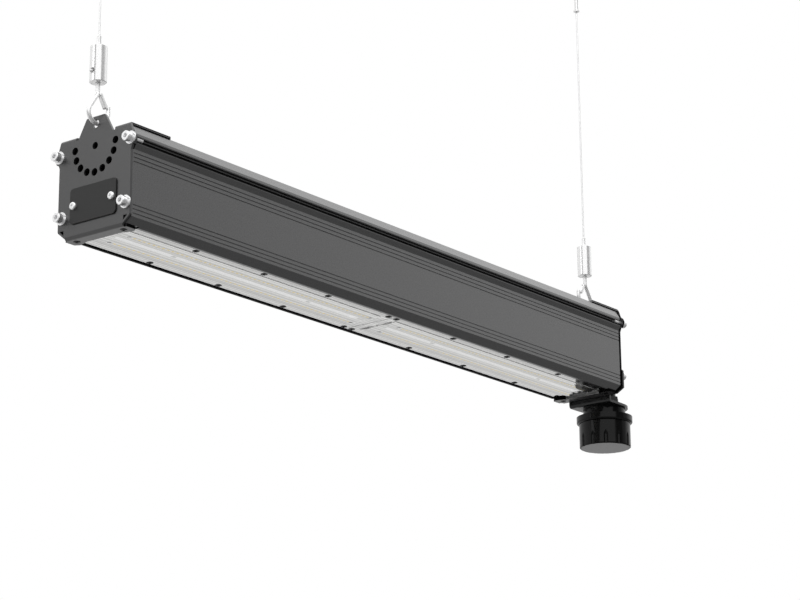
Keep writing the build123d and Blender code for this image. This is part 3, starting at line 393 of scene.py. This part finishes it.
COAT = ((0.014, 0.014, 0.015), (0.017, 0.017, 0.018))
name_plate_coat = powder_coat("name_plate_coat", grey(0.007), grey(0.01), rough=0.5, ior=1.48)
bracket_coat = powder_coat("bracket_coat", grey(0.005), grey(0.008), rough=0.25, ior=1.45)
screw_black = powder_coat("screw_black", grey(0.002), grey(0.004), rough=0.2, ior=1.25)
print("plain coats:", name_plate_coat.name, bracket_coat.name, screw_black.name)

# %% [markdown]
# Little light gets into the real housing's hollows, and less than this bright studio lets in.
# More lamps can't take light away, so a mask darkens the coat there: inside the skirt round the
# lenses, in the mouth of the screw channel, and partly on the nose above it. A fainter line
# runs along the mouth. The lower rim of the skirt on the photo's side keeps its grey.

# %% Housing's coat
HOUSING_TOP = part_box("housing")[1][2]
LENS_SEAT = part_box("left_lens")[1][2] + 0.0005
SKIRT_HALF = 0.0282
MOUTH_Z = HOUSING_TOP - 0.01105
MOUTH = (MOUTH_Z - 0.00018, 0.00198)
MOUTH_OUTER_Y = 0.0362
LINE = (MOUTH_Z - 0.0003, 0.0004)
LINE_SHARE = 0.45
NOSE = (MOUTH_Z + 0.0031, 0.0016)
NOSE_INNER_Y = 0.0345
NOSE_SHARE = 0.62
HOLLOW_SHADE = 0.3


def shaded_hollows(made):
    """The greatest of the skirt, the mouth less a share of its line, and a share of the nose."""
    tree = made.node_tree
    _, y, z = parts_of(tree, "Object")
    out = unsigned(tree, y)
    near_rim = times(tree, below(tree, y, 0.0), faces_down(tree))
    skirt = times(tree, below(tree, out, SKIRT_HALF), below(tree, z, LENS_SEAT))
    skirt = times(tree, skirt, outside(tree, near_rim))
    mouth = times(tree, below(tree, out, MOUTH_OUTER_Y), within(tree, z, *MOUTH))
    line = times(tree, within(tree, z, *LINE), LINE_SHARE)
    nose = times(tree, within(tree, z, *NOSE), above(tree, out, NOSE_INNER_Y), NOSE_SHARE)
    low = maths(tree, "MAXIMUM", skirt, maths(tree, "SUBTRACT", mouth, line))
    return maths(tree, "MAXIMUM", low, nose)


housing_coat = powder_coat("housing_coat", *COAT, rough=0.3, streaks=ALONG_X)
darken(housing_coat, shaded_hollows(housing_coat), HOLLOW_SHADE)
print("hollows darkened round z", round(float(MOUTH_Z), 4))

# %% [markdown]
# The end plates are cut and folded from sheet. Their cut edges are darker than their faces, but
# for a thin core line in the middle of the top flange's edge: this dark is painted shade, which
# stands for the shade in the narrow gaps along the edges. The mask takes the faces that look
# along Y, which on a folded sheet are its cut edges.

# %% End plates' coats
FLANGE_MIDDLE = HOUSING_TOP + 0.001
CORE_HALF = 0.00035
LEFT_EDGE_REACH = 0.2978
RIGHT_EDGE_REACH = 1.0
FACING_Y = 0.25
EDGE_SHADE = 0.15
LEFT_PLATE_IOR = 1.79


def shaded_cut_edges(made, reach):
    """Painted shade: 1 on faces that look along Y, up to a reach in x, but not the flange's core
    line.
    """
    tree = made.node_tree
    facing_y = parts_of(tree, "Normal")[1]
    x, _, z = parts_of(tree, "Object")
    cut = above(tree, unsigned(tree, facing_y), FACING_Y)
    near = below(tree, unsigned(tree, x), reach)
    return times(tree, cut, near, outside(tree, within(tree, z, FLANGE_MIDDLE, CORE_HALF)))


# Painted shade on the cut edges of both plates.
left_plate_coat = powder_coat("left_plate_coat", *COAT, rough=0.33)
darken(left_plate_coat, shaded_cut_edges(left_plate_coat, LEFT_EDGE_REACH), EDGE_SHADE, LEFT_PLATE_IOR)
right_plate_coat = powder_coat("right_plate_coat", *COAT, rough=0.33)
darken(right_plate_coat, shaded_cut_edges(right_plate_coat, RIGHT_EDGE_REACH), EDGE_SHADE)
print("plates' coats:", left_plate_coat.name, right_plate_coat.name)

# %% [markdown]
# The screws, washers, grippers and hooks are bright metal. Their tooling leaves a fine pattern,
# so one noise drives roughness, bump and a little of the colour. On the drawn driver case it is
# stretched into lines along the case. A bright piece mirrors the room so fully that it would
# break up into black and white, and a share under 1 of metal keeps the small ones even.

# %% Bright metals
TOOLING_DEPTH = 0.000001
TOOLING_STRENGTH = 0.4


def bright_metal(name, dark, light, rough, cells, metal=1.0, stretch=(1.0, 1.0, 1.0)):
    """Bare or plated metal: the lines of tooling in roughness, bump and a little in colour."""
    made, shader = new_material(name, Metallic=metal)
    tree = made.node_tree
    lines = object_noise(tree, cells, stretch, detail=3.0)
    tree.links.new(mixed(tree, lines, dark, light), shader.inputs["Base Color"])
    tree.links.new(ranged(tree, lines, *rough), shader.inputs["Roughness"])
    bumped(tree, shader, lines, TOOLING_DEPTH, TOOLING_STRENGTH)
    return made


stainless = bright_metal("stainless", (0.86, 0.86, 0.87), grey(0.97), (0.2, 0.26), 900.0, 0.75)
nickel = bright_metal("nickel", grey(0.94), grey(0.98), (0.16, 0.2), 100.0, 0.5)
hook_zinc = bright_metal("hook_zinc", grey(0.93), grey(0.97), (0.34, 0.4), 500.0, 0.7)
wire_bright = bright_metal("wire_bright", grey(0.86), grey(0.93), (0.4, 0.5), 2000.0)
plain_aluminium = bright_metal(
    "plain_aluminium",
    dark=(0.7, 0.7, 0.71),
    light=(0.78, 0.78, 0.79),
    rough=(0.3, 0.42),
    cells=300.0,
    stretch=(0.05, 1, 1),
)
print("metals:", stainless.name, nickel.name, hook_zinc.name, wire_bright.name)

# %% [markdown]
# Plastics and rubbers: the sensor is black in high gloss, the cable gland and the seals are matt
# black, and inside are a pale terminal block, the driver's potting and two kinds of board. All
# have the skin of a mould, a shallow grain that differs in cell size and depth.

# %% Plastics and rubbers
SKIN_STRENGTH = 0.3


def plastic(name, dark, light, rough, cells, depth, ior=1.5):
    """A moulded surface with a grain of the given cells in a metre and depth in metres."""
    made, shader = new_material(name, IOR=ior)
    tree = made.node_tree
    skin = object_noise(tree, cells)
    tree.links.new(mixed(tree, skin, dark, light), shader.inputs["Base Color"])
    tree.links.new(ranged(tree, skin, *rough), shader.inputs["Roughness"])
    bumped(tree, shader, skin, depth, SKIN_STRENGTH)
    return made


sensor_gloss = plastic("sensor_gloss", grey(0.004), grey(0.006), (0.1, 0.13), 800.0, 1e-6, 1.27)
gland_black = plastic("gland_black", grey(0.012), grey(0.018), (0.4, 0.55), 1500.0, 3e-5)
seal_black = plastic("seal_black", grey(0.008), grey(0.014), (0.6, 0.75), 1800.0, 3e-5)
pale_block = plastic("pale_block", (0.6, 0.6, 0.57), (0.7, 0.7, 0.66), (0.35, 0.5), 1200.0, 2e-5)
potting = plastic("potting", grey(0.03), grey(0.05), (0.4, 0.6), 300.0, 1e-4)
board_black = plastic("board_black", grey(0.012), grey(0.02), (0.4, 0.5), 500.0, 1e-5)
solder_green = plastic(
    "solder_green",
    dark=(0.01, 0.08, 0.03),
    light=(0.015, 0.11, 0.045),
    rough=(0.25, 0.4),
    cells=600.0,
    depth=1e-5,
)
print("plastics:", sensor_gloss.name, gland_black.name, seal_black.name, pale_block.name)

# %% [markdown]
# Each LED chip is a white frame round a square of yellow phosphor. The pattern repeats at the
# chips' own pitch, so it is worked out from the object's coordinates: the distance from the
# nearest chip's centre, compared with half the phosphor's width.

# %% LED chips
CHIPS_A_ROW = 54
CHIP_LENGTH = 0.003
CHIP_WIDTH = 0.0028
PHOSPHOR_HALF = 0.00105
CHIP_FRAME = (0.72, 0.71, 0.66)
PHOSPHOR = (0.78, 0.66, 0.28)
chip_low, chip_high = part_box("left_leds")
CHIP_PITCH = (chip_high[0] - chip_low[0] - CHIP_LENGTH) / (CHIPS_A_ROW - 1)
ROW_HALF_SPACING = (chip_high[1] - chip_low[1] - CHIP_WIDTH) / 2


def off_pitch(tree, x, first_x):
    """Distance in x from the nearest chip: p |x/p - round(x/p)|, with x from the first chip."""
    steps = maths(tree, "DIVIDE", maths(tree, "SUBTRACT", x, first_x), CHIP_PITCH)
    part = off(tree, steps, maths(tree, "ROUND", steps))
    return maths(tree, "MULTIPLY", part, CHIP_PITCH)


def led_chip(name, first_x):
    """Phosphor where both distances from the chip's centre are under half its width."""
    made, shader = new_material(name, Roughness=0.35)
    tree = made.node_tree
    x, y, _ = parts_of(tree, "Object")
    off_y = off(tree, unsigned(tree, y), ROW_HALF_SPACING)
    farthest = maths(tree, "MAXIMUM", off_pitch(tree, x, first_x), off_y)
    inside = below(tree, farthest, PHOSPHOR_HALF)
    tree.links.new(mixed(tree, inside, CHIP_FRAME, PHOSPHOR), shader.inputs["Base Color"])
    return made


led_chips = {}
first_chip_x = {}
for side in SIDES:
    first_chip_x[side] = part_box(f"{side}_leds")[0][0] + CHIP_LENGTH / 2
    led_chips[side] = led_chip(f"{side}_led_chip", first_chip_x[side])
print("chips are", round(1000 * float(CHIP_PITCH), 2), "mm apart")

# %% [markdown]
# The lens is clear plastic with long prisms moulded in. Each prism catches the light in its own
# way, so the lens reads as soft bands along its length. These bands are painted light: a list
# gives the painted tone at some distances from the centre line, in millimetres, and a fine wave on
# top stands for the prisms' painted sheen.

# %% Lens bands
BANDS = [
    (-25.0, 0.66),
    (-20.0, 0.62),
    (-16.5, 0.86),
    (-12.0, 0.72),
    (-5.5, 0.68),
    (-1.0, 0.8),
    (8.0, 0.72),
    (14.5, 0.65),
    (20.0, 0.78),
    (25.0, 0.7),
]
BANDS_WIDTH = 52.0
BAND_BLUE = 0.985
PRISM_PITCH = 0.0034
PRISM_SHEEN_DEPTH = 0.2


def colour_ramp(tree, stops):
    """A ramp with a stop for each place from 0 to 1 and its colour."""
    ramp = tree.nodes.new("ShaderNodeValToRGB")
    elements = ramp.color_ramp.elements
    while len(elements) < len(stops):
        elements.new(0.5)
    for element, (place, colour) in zip(elements, stops):
        element.position = place
        element.color = (*colour, 1.0)
    return ramp


def painted_bands(tree, y):
    """The painted tone of the bands at y, multiplied by 1 + d cos(2 pi y / pitch) for the prisms'
    sheen.
    """
    stops = [(0.5 + at / BANDS_WIDTH, (tone, tone, tone * BAND_BLUE)) for at, tone in BANDS]
    bands = colour_ramp(tree, stops)
    edge = BANDS_WIDTH / 2000
    tree.links.new(ranged(tree, y, 0.0, 1.0, -edge, edge), bands.inputs["Fac"])
    wave = maths(tree, "COSINE", maths(tree, "MULTIPLY", y, 2 * math.pi / PRISM_PITCH))
    prism_sheen = tree.nodes.new("ShaderNodeVectorMath")
    prism_sheen.operation = "SCALE"
    tree.links.new(bands.outputs["Color"], prism_sheen.inputs[0])
    depth = ranged(tree, wave, 1 - PRISM_SHEEN_DEPTH, 1 + PRISM_SHEEN_DEPTH, -1.0, 1.0)
    tree.links.new(depth, prism_sheen.inputs["Scale"])
    return prism_sheen.outputs["Vector"]


print("the bands have", len(BANDS), "stops")

# %% [markdown]
# A bright rib runs along the lens, broken twice: its brightness is a painted highlight. The optics
# over the chips show each of them as a tan dash. Both are masks in the lens's own coordinates.

# %% Lens rib and dashes
RIB_Y = -0.0021
RIB_HALF = 0.0016
RIB_END = 0.0175
RIB_GAPS = 0.0729
RIB_GAP_HALF = 0.0022
ROWS_SEEN_Y = -0.001
DASH_HALF_LENGTH = 0.0012
DASH_HALF_WIDTH = 0.0008


def rib_highlight_mask(tree, x, y, low, high):
    """The rib's painted highlight: 1 within the rib's width along a lens, but not in its two gaps.
    """
    from_middle = off(tree, x, (low + high) / 2)
    along = below(tree, from_middle, (high - low) / 2 - RIB_END)
    in_gap = within(tree, from_middle, RIB_GAPS, RIB_GAP_HALF)
    return times(tree, along, within(tree, y, RIB_Y, RIB_HALF), outside(tree, in_gap))


def dash_mask(tree, x, y, first_x):
    """1 near the centre of each chip, as its row is seen through the lens."""
    off_row = unsigned(tree, maths(tree, "SUBTRACT", y, ROWS_SEEN_Y))
    on_row = within(tree, off_row, ROW_HALF_SPACING, DASH_HALF_WIDTH)
    row_middle = first_x + (CHIPS_A_ROW - 1) / 2 * CHIP_PITCH
    in_rows = within(tree, x, row_middle, CHIPS_A_ROW / 2 * CHIP_PITCH)
    return times(tree, on_row, in_rows, below(tree, off_pitch(tree, x, first_x), DASH_HALF_LENGTH))


print("the rib is", round(2000 * RIB_HALF, 1), "mm wide")

# %% [markdown]
# Looked at along its face the plastic is nearly a mirror of the pale floor, and squarely it lets
# the boards behind it through. Real glass shading would need many bounces to get that light out
# again, so the lens is a thin mirror whose alpha follows the angle of view. Its normal is mostly
# levelled towards straight down, so that its moulded lines don't break the mirror image up.

# %% Clear lens
WHITE = (1.0, 1.0, 1.0)
DASH_TAN = (0.9, 0.7, 0.22)
LEVELLED = 0.85
ALPHA_SQUARE, ALPHA_FLAT = 0.12, 0.88
FACING_SQUARE, FACING_FLAT = 0.1, 0.65
RIPPLE_CELLS = 60.0
RIPPLE_ALONG_X = (0.05, 1, 1)
RIPPLE_ROUGHNESS = (0.02, 0.035)


def lens_plastic(name, low, high, first_x):
    """Clear plastic as a thin mirror: the flatter it is looked at, the less shows through it."""
    made, shader = new_material(name, Metallic=1.0)
    tree = made.node_tree
    x, y, _ = parts_of(tree, "Object")
    down = faces_down(tree)
    # The faces that look down get the painted light of the bands and the rib's highlight, and the
    # dashes.
    colour = mixed(tree, rib_highlight_mask(tree, x, y, low, high), painted_bands(tree, y), WHITE)
    colour = mixed(tree, dash_mask(tree, x, y, first_x), colour, DASH_TAN)
    colour = mixed(tree, outside(tree, down), colour, WHITE)
    tree.links.new(colour, shader.inputs["Base Color"])

    shape = tree.nodes.new("ShaderNodeNewGeometry")
    level = tree.nodes.new("ShaderNodeMix")
    level.data_type = "VECTOR"
    tree.links.new(times(tree, down, LEVELLED), level.inputs["Factor"])
    tree.links.new(shape.outputs["Normal"], level.inputs[4])
    level.inputs[5].default_value = (0.0, 0.0, -1.0)
    tree.links.new(level.outputs[1], shader.inputs["Normal"])
    facing = tree.nodes.new("ShaderNodeLayerWeight")
    facing.inputs["Blend"].default_value = 0.5
    tree.links.new(level.outputs[1], facing.inputs["Normal"])
    opaque = ranged(
        tree, facing.outputs["Facing"], ALPHA_SQUARE, ALPHA_FLAT, FACING_SQUARE, FACING_FLAT
    )
    tree.links.new(opaque, shader.inputs["Alpha"])
    ripple = object_noise(tree, RIPPLE_CELLS, RIPPLE_ALONG_X)
    tree.links.new(ranged(tree, ripple, *RIPPLE_ROUGHNESS), shader.inputs["Roughness"])
    return made


clear_lenses = {}
for side in SIDES:
    low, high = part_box(f"{side}_lens")
    clear_lenses[side] = lens_plastic(f"{side}_clear_lens", low[0], high[0], first_chip_x[side])
    print(side, "lens is", round(1000 * float(high[0] - low[0]), 1), "mm long")

# %% [markdown]
# The twenty lens screws have low domed heads that lie nearly flush. A surface of revolution is the
# plain way to a turned part, so one profile of radius and height is carried round the axis of
# every screw at once.

# %% Turned parts


def turned(profile, places, corners):
    """Points (x + r cos t, y + r sin t, z + h) for each place, profile point (r, h), angle t."""
    angle = np.linspace(0.0, 2 * math.pi, corners, endpoint=False)
    ring = np.stack([np.cos(angle), np.sin(angle), np.zeros(corners)], axis=-1)
    up = profile[:, 1][:, None, None] * np.array([0.0, 0.0, 1.0])
    shape = profile[:, 0][:, None, None] * ring + up
    return places[:, None, None, :] + shape


def turned_mesh(name, grids):
    """One mesh of closed turned parts: quads between rings, and a flat cap on each end ring."""
    parts, rings, corners = grids.shape[:3]
    index = np.arange(parts * rings * corners).reshape(parts, rings, corners)
    ahead = np.roll(index, -1, axis=2)
    sides = np.stack([index[:, :-1], index[:, 1:], ahead[:, 1:], ahead[:, :-1]], axis=-1)
    caps = index[:, 0].tolist() + index[:, -1, ::-1].tolist()
    mesh = bpy.data.meshes.new(name)
    mesh.from_pydata(grids.reshape(-1, 3).tolist(), [], sides.reshape(-1, 4).tolist() + caps)
    mesh.shade_smooth()
    return placed(name, mesh)


# %% [markdown]
# The screws stand in two rows, five to a lens on each side. Most heads sit on the lens's rim. The
# first and the last of each row sit lower, on the end plates' bottom flanges.

# %% Lens screw heads
SCREW_PROFILE = np.array([
    (0.00030, 0.00000),
    (0.00085, -0.00005),
    (0.00100, -0.00038),
    (0.00170, -0.00045),
    (0.00230, -0.00030),
    (0.00260, -0.00008),
    (0.00265, 0.00010),
    (0.00145, 0.00012),
    (0.00145, 0.00600),
    (0.00030, 0.00610),
])
SCREW_CORNERS = 24
SCREWS_A_SIDE = 5
SCREW_END = 0.00454
SCREW_Y = 0.0218
GASKET_TO_FACE = 0.0035
SCREW_TO_FLANGE = 0.0013
face_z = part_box("left_lens_gasket")[0][2] - GASKET_TO_FACE
flange_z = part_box("lens_screws")[0][2] + SCREW_TO_FLANGE
rows = []
for side in SIDES:
    low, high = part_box(f"{side}_lens")
    rows.append(np.linspace(low[0] + SCREW_END, high[0] - SCREW_END, SCREWS_A_SIDE))
along = np.concatenate(rows)
seat = np.full(along.size, face_z)
seat[[0, -1]] = flange_z
lines = [np.stack([along, np.full(along.size, y), seat], axis=-1) for y in (-SCREW_Y, SCREW_Y)]
screw_places = np.concatenate(lines)
screw_heads = turned_mesh("lens_screw_heads", turned(SCREW_PROFILE, screw_places, SCREW_CORNERS))
screw_heads.data.materials.append(screw_black)
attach(screw_heads, "light")
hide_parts("lens_screws")
print("lens screw heads:", len(screw_places), "with", len(screw_heads.data.polygons), "faces")

# %% [markdown]
# The paint bridges the joint between the left end plate and the housing, so no groove shows there.
# The gasket's own outline, widened to lie flush with the housing, is the simplest way to that.

# %% Left end gasket, flush
GASKET_INSET = 0.0006


def copied(node, name, finish):
    """A piece whose mesh is a copy of a node's, with a finish of its own."""
    mesh = nodes[node].data.copy()
    mesh.name = name
    mesh.materials.clear()
    mesh.materials.append(finish)
    return placed(name, mesh)


flush_gasket = copied("left_end_gasket", "left_gasket_flush", housing_coat)
flat = np.empty(3 * len(flush_gasket.data.vertices))
flush_gasket.data.vertices.foreach_get("co", flat)
spots = flat.reshape(-1, 3)
middle = (spots.max(0) + spots.min(0)) / 2
reach_yz = (spots.max(0) - spots.min(0)) / 2
grown = 1.0 + np.array([0.0, 1.0, 1.0]) * GASKET_INSET / reach_yz
flush_gasket.data.vertices.foreach_set("co", (middle + (spots - middle) * grown).ravel())
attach(flush_gasket, "light")
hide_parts("left_end_gasket")
print("left gasket widened by", [round(1000 * v, 2) for v in (grown - 1.0) * reach_yz], "mm")

# %% [markdown]
# The coil spring under each plunger gets shorter as the plunger is pressed, which its solid can't.
# A copy of it, with a mesh of its own, takes its place and is attached to the plunger's unit.

# %% Plunger springs
for side in SIDES:
    low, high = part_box(f"{side}_plunger_spring")
    spring = copied(f"{side}_plunger_spring", f"{side}_press_spring", wire_bright)
    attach(spring, f"{side}_plunger_unit")
    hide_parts(f"{side}_plunger_spring")
    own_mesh(spring)
    print(side, "plunger spring", round(1000 * (high[2] - low[2]), 2), "mm long at rest")

# %% [markdown]
# Now every solid that still shows gets its finish. The list is by finish, from the housing's coat
# to the bright metals of the hooks and grippers, which are the same at both ends.

# %% Dress the frame
finishes = [
    (housing_coat, ["housing"]),
    (left_plate_coat, ["left_end_plate"]),
    (right_plate_coat, ["right_end_plate"]),
    (name_plate_coat, ["name_plate"]),
    (bracket_coat, ["sensor_bracket"]),
    (sensor_gloss, ["sensor_base", "sensor_cap", "sensor_plug"]),
    (solder_green, ["sensor_board"]),
    (gland_black, ["cable_gland_body", "cable_gland_nut", "cable_gland_locknut", "sensor_nut"]),
    (gland_black, ["driver_end_caps"]),
    (seal_black, ["right_end_gasket", "cable_gland_seal", "lead_grommet"]),
    (plain_aluminium, ["driver_case"]),
    (potting, ["driver_circuit"]),
    (pale_block, ["terminal_block"]),
    (stainless, ["end_screws", "spring_washers", "flat_washers"]),
    (stainless, ["name_plate_screws", "driver_screws"]),
]
both_ends = [
    (seal_black, ["lens_gasket"]),
    (board_black, ["led_board"]),
    (nickel, ["ceiling_fitting", "gripper_body", "gripper_core", "gripper_plug", "plunger"]),
    (hook_zinc, ["hook", "gate", "gate_pin"]),
    (wire_bright, ["gate_spring"]),
]
for side in SIDES:
    finishes += [(clear_lenses[side], [f"{side}_lens"]), (led_chips[side], [f"{side}_leds"])]
    finishes += [(finish, [f"{side}_{name}" for name in names]) for finish, names in both_ends]
    wires[side].data.materials.append(wire_bright)

dressed = 0
for finish, names in finishes:
    for name in names:
        dressed += 1
        for slot in nodes[name].material_slots:
            slot.material = finish
print("finished nodes:", dressed, "of", len(nodes), "and new pieces stand for the others")

# %% [markdown]
# The floor is pale and lies well below the light. The light's near side and its underside mirror
# different parts of it, so for all rays but the camera's its tone is painted shade that rises with
# y, from front to back. The camera itself sees it plain and pale.

# %% Floor
FLOOR_Z = -1.3
FLOOR_REACH = 6.0
FLOOR_FRONT, FLOOR_BACK = 0.2, 0.7
FLOOR_FRONT_Y, FLOOR_BACK_Y = 0.1, 1.2
FLOOR_SEEN = 0.8
corners = [(-1, -1), (1, -1), (1, 1), (-1, 1)]
floor_mesh = bpy.data.meshes.new("floor")
floor_mesh.from_pydata(
    [(x * FLOOR_REACH, y * FLOOR_REACH, FLOOR_Z) for x, y in corners], [], [(0, 1, 2, 3)]
)
floor = placed("floor", floor_mesh)
floor_paint_and_shade, floor_shader = new_material("floor_paint_and_shade", Roughness=0.9)
tree = floor_paint_and_shade.node_tree
y = parts_of(tree, "Object")[1]
path = tree.nodes.new("ShaderNodeLightPath")
# Painted shade for all rays but the camera's: darker in front, lighter towards the back.
tone = ranged(tree, y, FLOOR_FRONT, FLOOR_BACK, FLOOR_FRONT_Y, FLOOR_BACK_Y)
shown = maths(tree, "MAXIMUM", tone, times(tree, path.outputs["Is Camera Ray"], FLOOR_SEEN))
tree.links.new(shown, floor_shader.inputs["Base Color"])
floor.data.materials.append(floor_paint_and_shade)
print("floor at z", FLOOR_Z)

# %% [markdown]
# The world stands for the walls and the ceiling. Round the compass its brightness follows a list
# of turns in degrees and levels. Two black flags stand in that ring, and they draw the dark bands
# on round bright pieces and on the sensor. The ring gains its full level a little above the
# horizon. Over it lies a bright belt, which dims towards the zenith. The camera itself sees
# plain white behind the light.

# %% Studio
RING = [
    (0, 1.0),
    (20, 0.75),
    (33, 0.55),
    (50, 0.75),
    (110, 0.9),
    (135, 0.85),
    (146, 0.8),
    (151, 0.06),
    (182, 0.06),
    (190, 1.25),
    (257, 1.25),
    (265, 0.06),
    (295, 0.1),
    (302, 0.4),
    (316, 0.45),
    (328, 1.0),
    (345, 1.1),
]
RING_RISE = (0.35, 1.0, -0.3, 0.25)
BELT_ON = (0.0, 0.8, 0.46, 0.58)
BELT_OFF = (0.0, 0.5, 0.58, 0.85)
world = bpy.data.worlds.new("studio")
bpy.context.scene.world = world
world.use_nodes = True
tree = world.node_tree
background = tree.nodes["Background"]
to_x, to_y, to_z = parts_of(tree, "Generated")
compass = maths(tree, "ARCTAN2", to_y, to_x)
turns = sorted((turn if turn <= 180 else turn - 360, level) for turn, level in RING)
ring = colour_ramp(tree, [(0.5 + turn / 360.0, grey(level)) for turn, level in turns])
tree.links.new(ranged(tree, compass, 0.0, 1.0, -math.pi, math.pi), ring.inputs["Fac"])
side_light = times(tree, ring.outputs["Color"], ranged(tree, to_z, *RING_RISE))
belt = maths(tree, "SUBTRACT", ranged(tree, to_z, *BELT_ON), ranged(tree, to_z, *BELT_OFF))
path = tree.nodes.new("ShaderNodeLightPath")
room = maths(tree, "ADD", side_light, belt)
seen = maths(tree, "MAXIMUM", room, path.outputs["Is Camera Ray"])
tree.links.new(seen, background.inputs["Strength"])
background.inputs["Color"].default_value = (*WHITE, 1.0)
print("the ring of light has", len(RING), "stops")

# %% [markdown]
# Two large, soft lamps lift the faces that the world leaves flat: one above and in front of the
# long side, and a weaker one beyond the name plate's end. Plain "Standard" colours keep white
# white.

# %% Lamps


def soft_lamp(name, place, target, size, power):
    """A square area lamp at a place, facing a target."""
    data = bpy.data.lights.new(name, "AREA")
    data.size = size
    data.energy = power
    lamp = placed(name, data)
    lamp.location = place
    away = np.array(place) - np.array(target)
    level = math.hypot(away[0], away[1])
    lamp.rotation_euler = (math.atan2(level, away[2]), 0.0, math.atan2(away[0], -away[1]))


soft_lamp("key", place=(-0.2, -1.7, 1.5), target=(0.0, 0.0, -0.35), size=1.4, power=12.0)
soft_lamp("side", place=(-2.2, 0.9, 0.6), target=(-0.3, 0.0, -0.35), size=1.0, power=5.0)
bpy.context.scene.view_settings.view_transform = "Standard"
print("lamps:", len(bpy.data.lights))
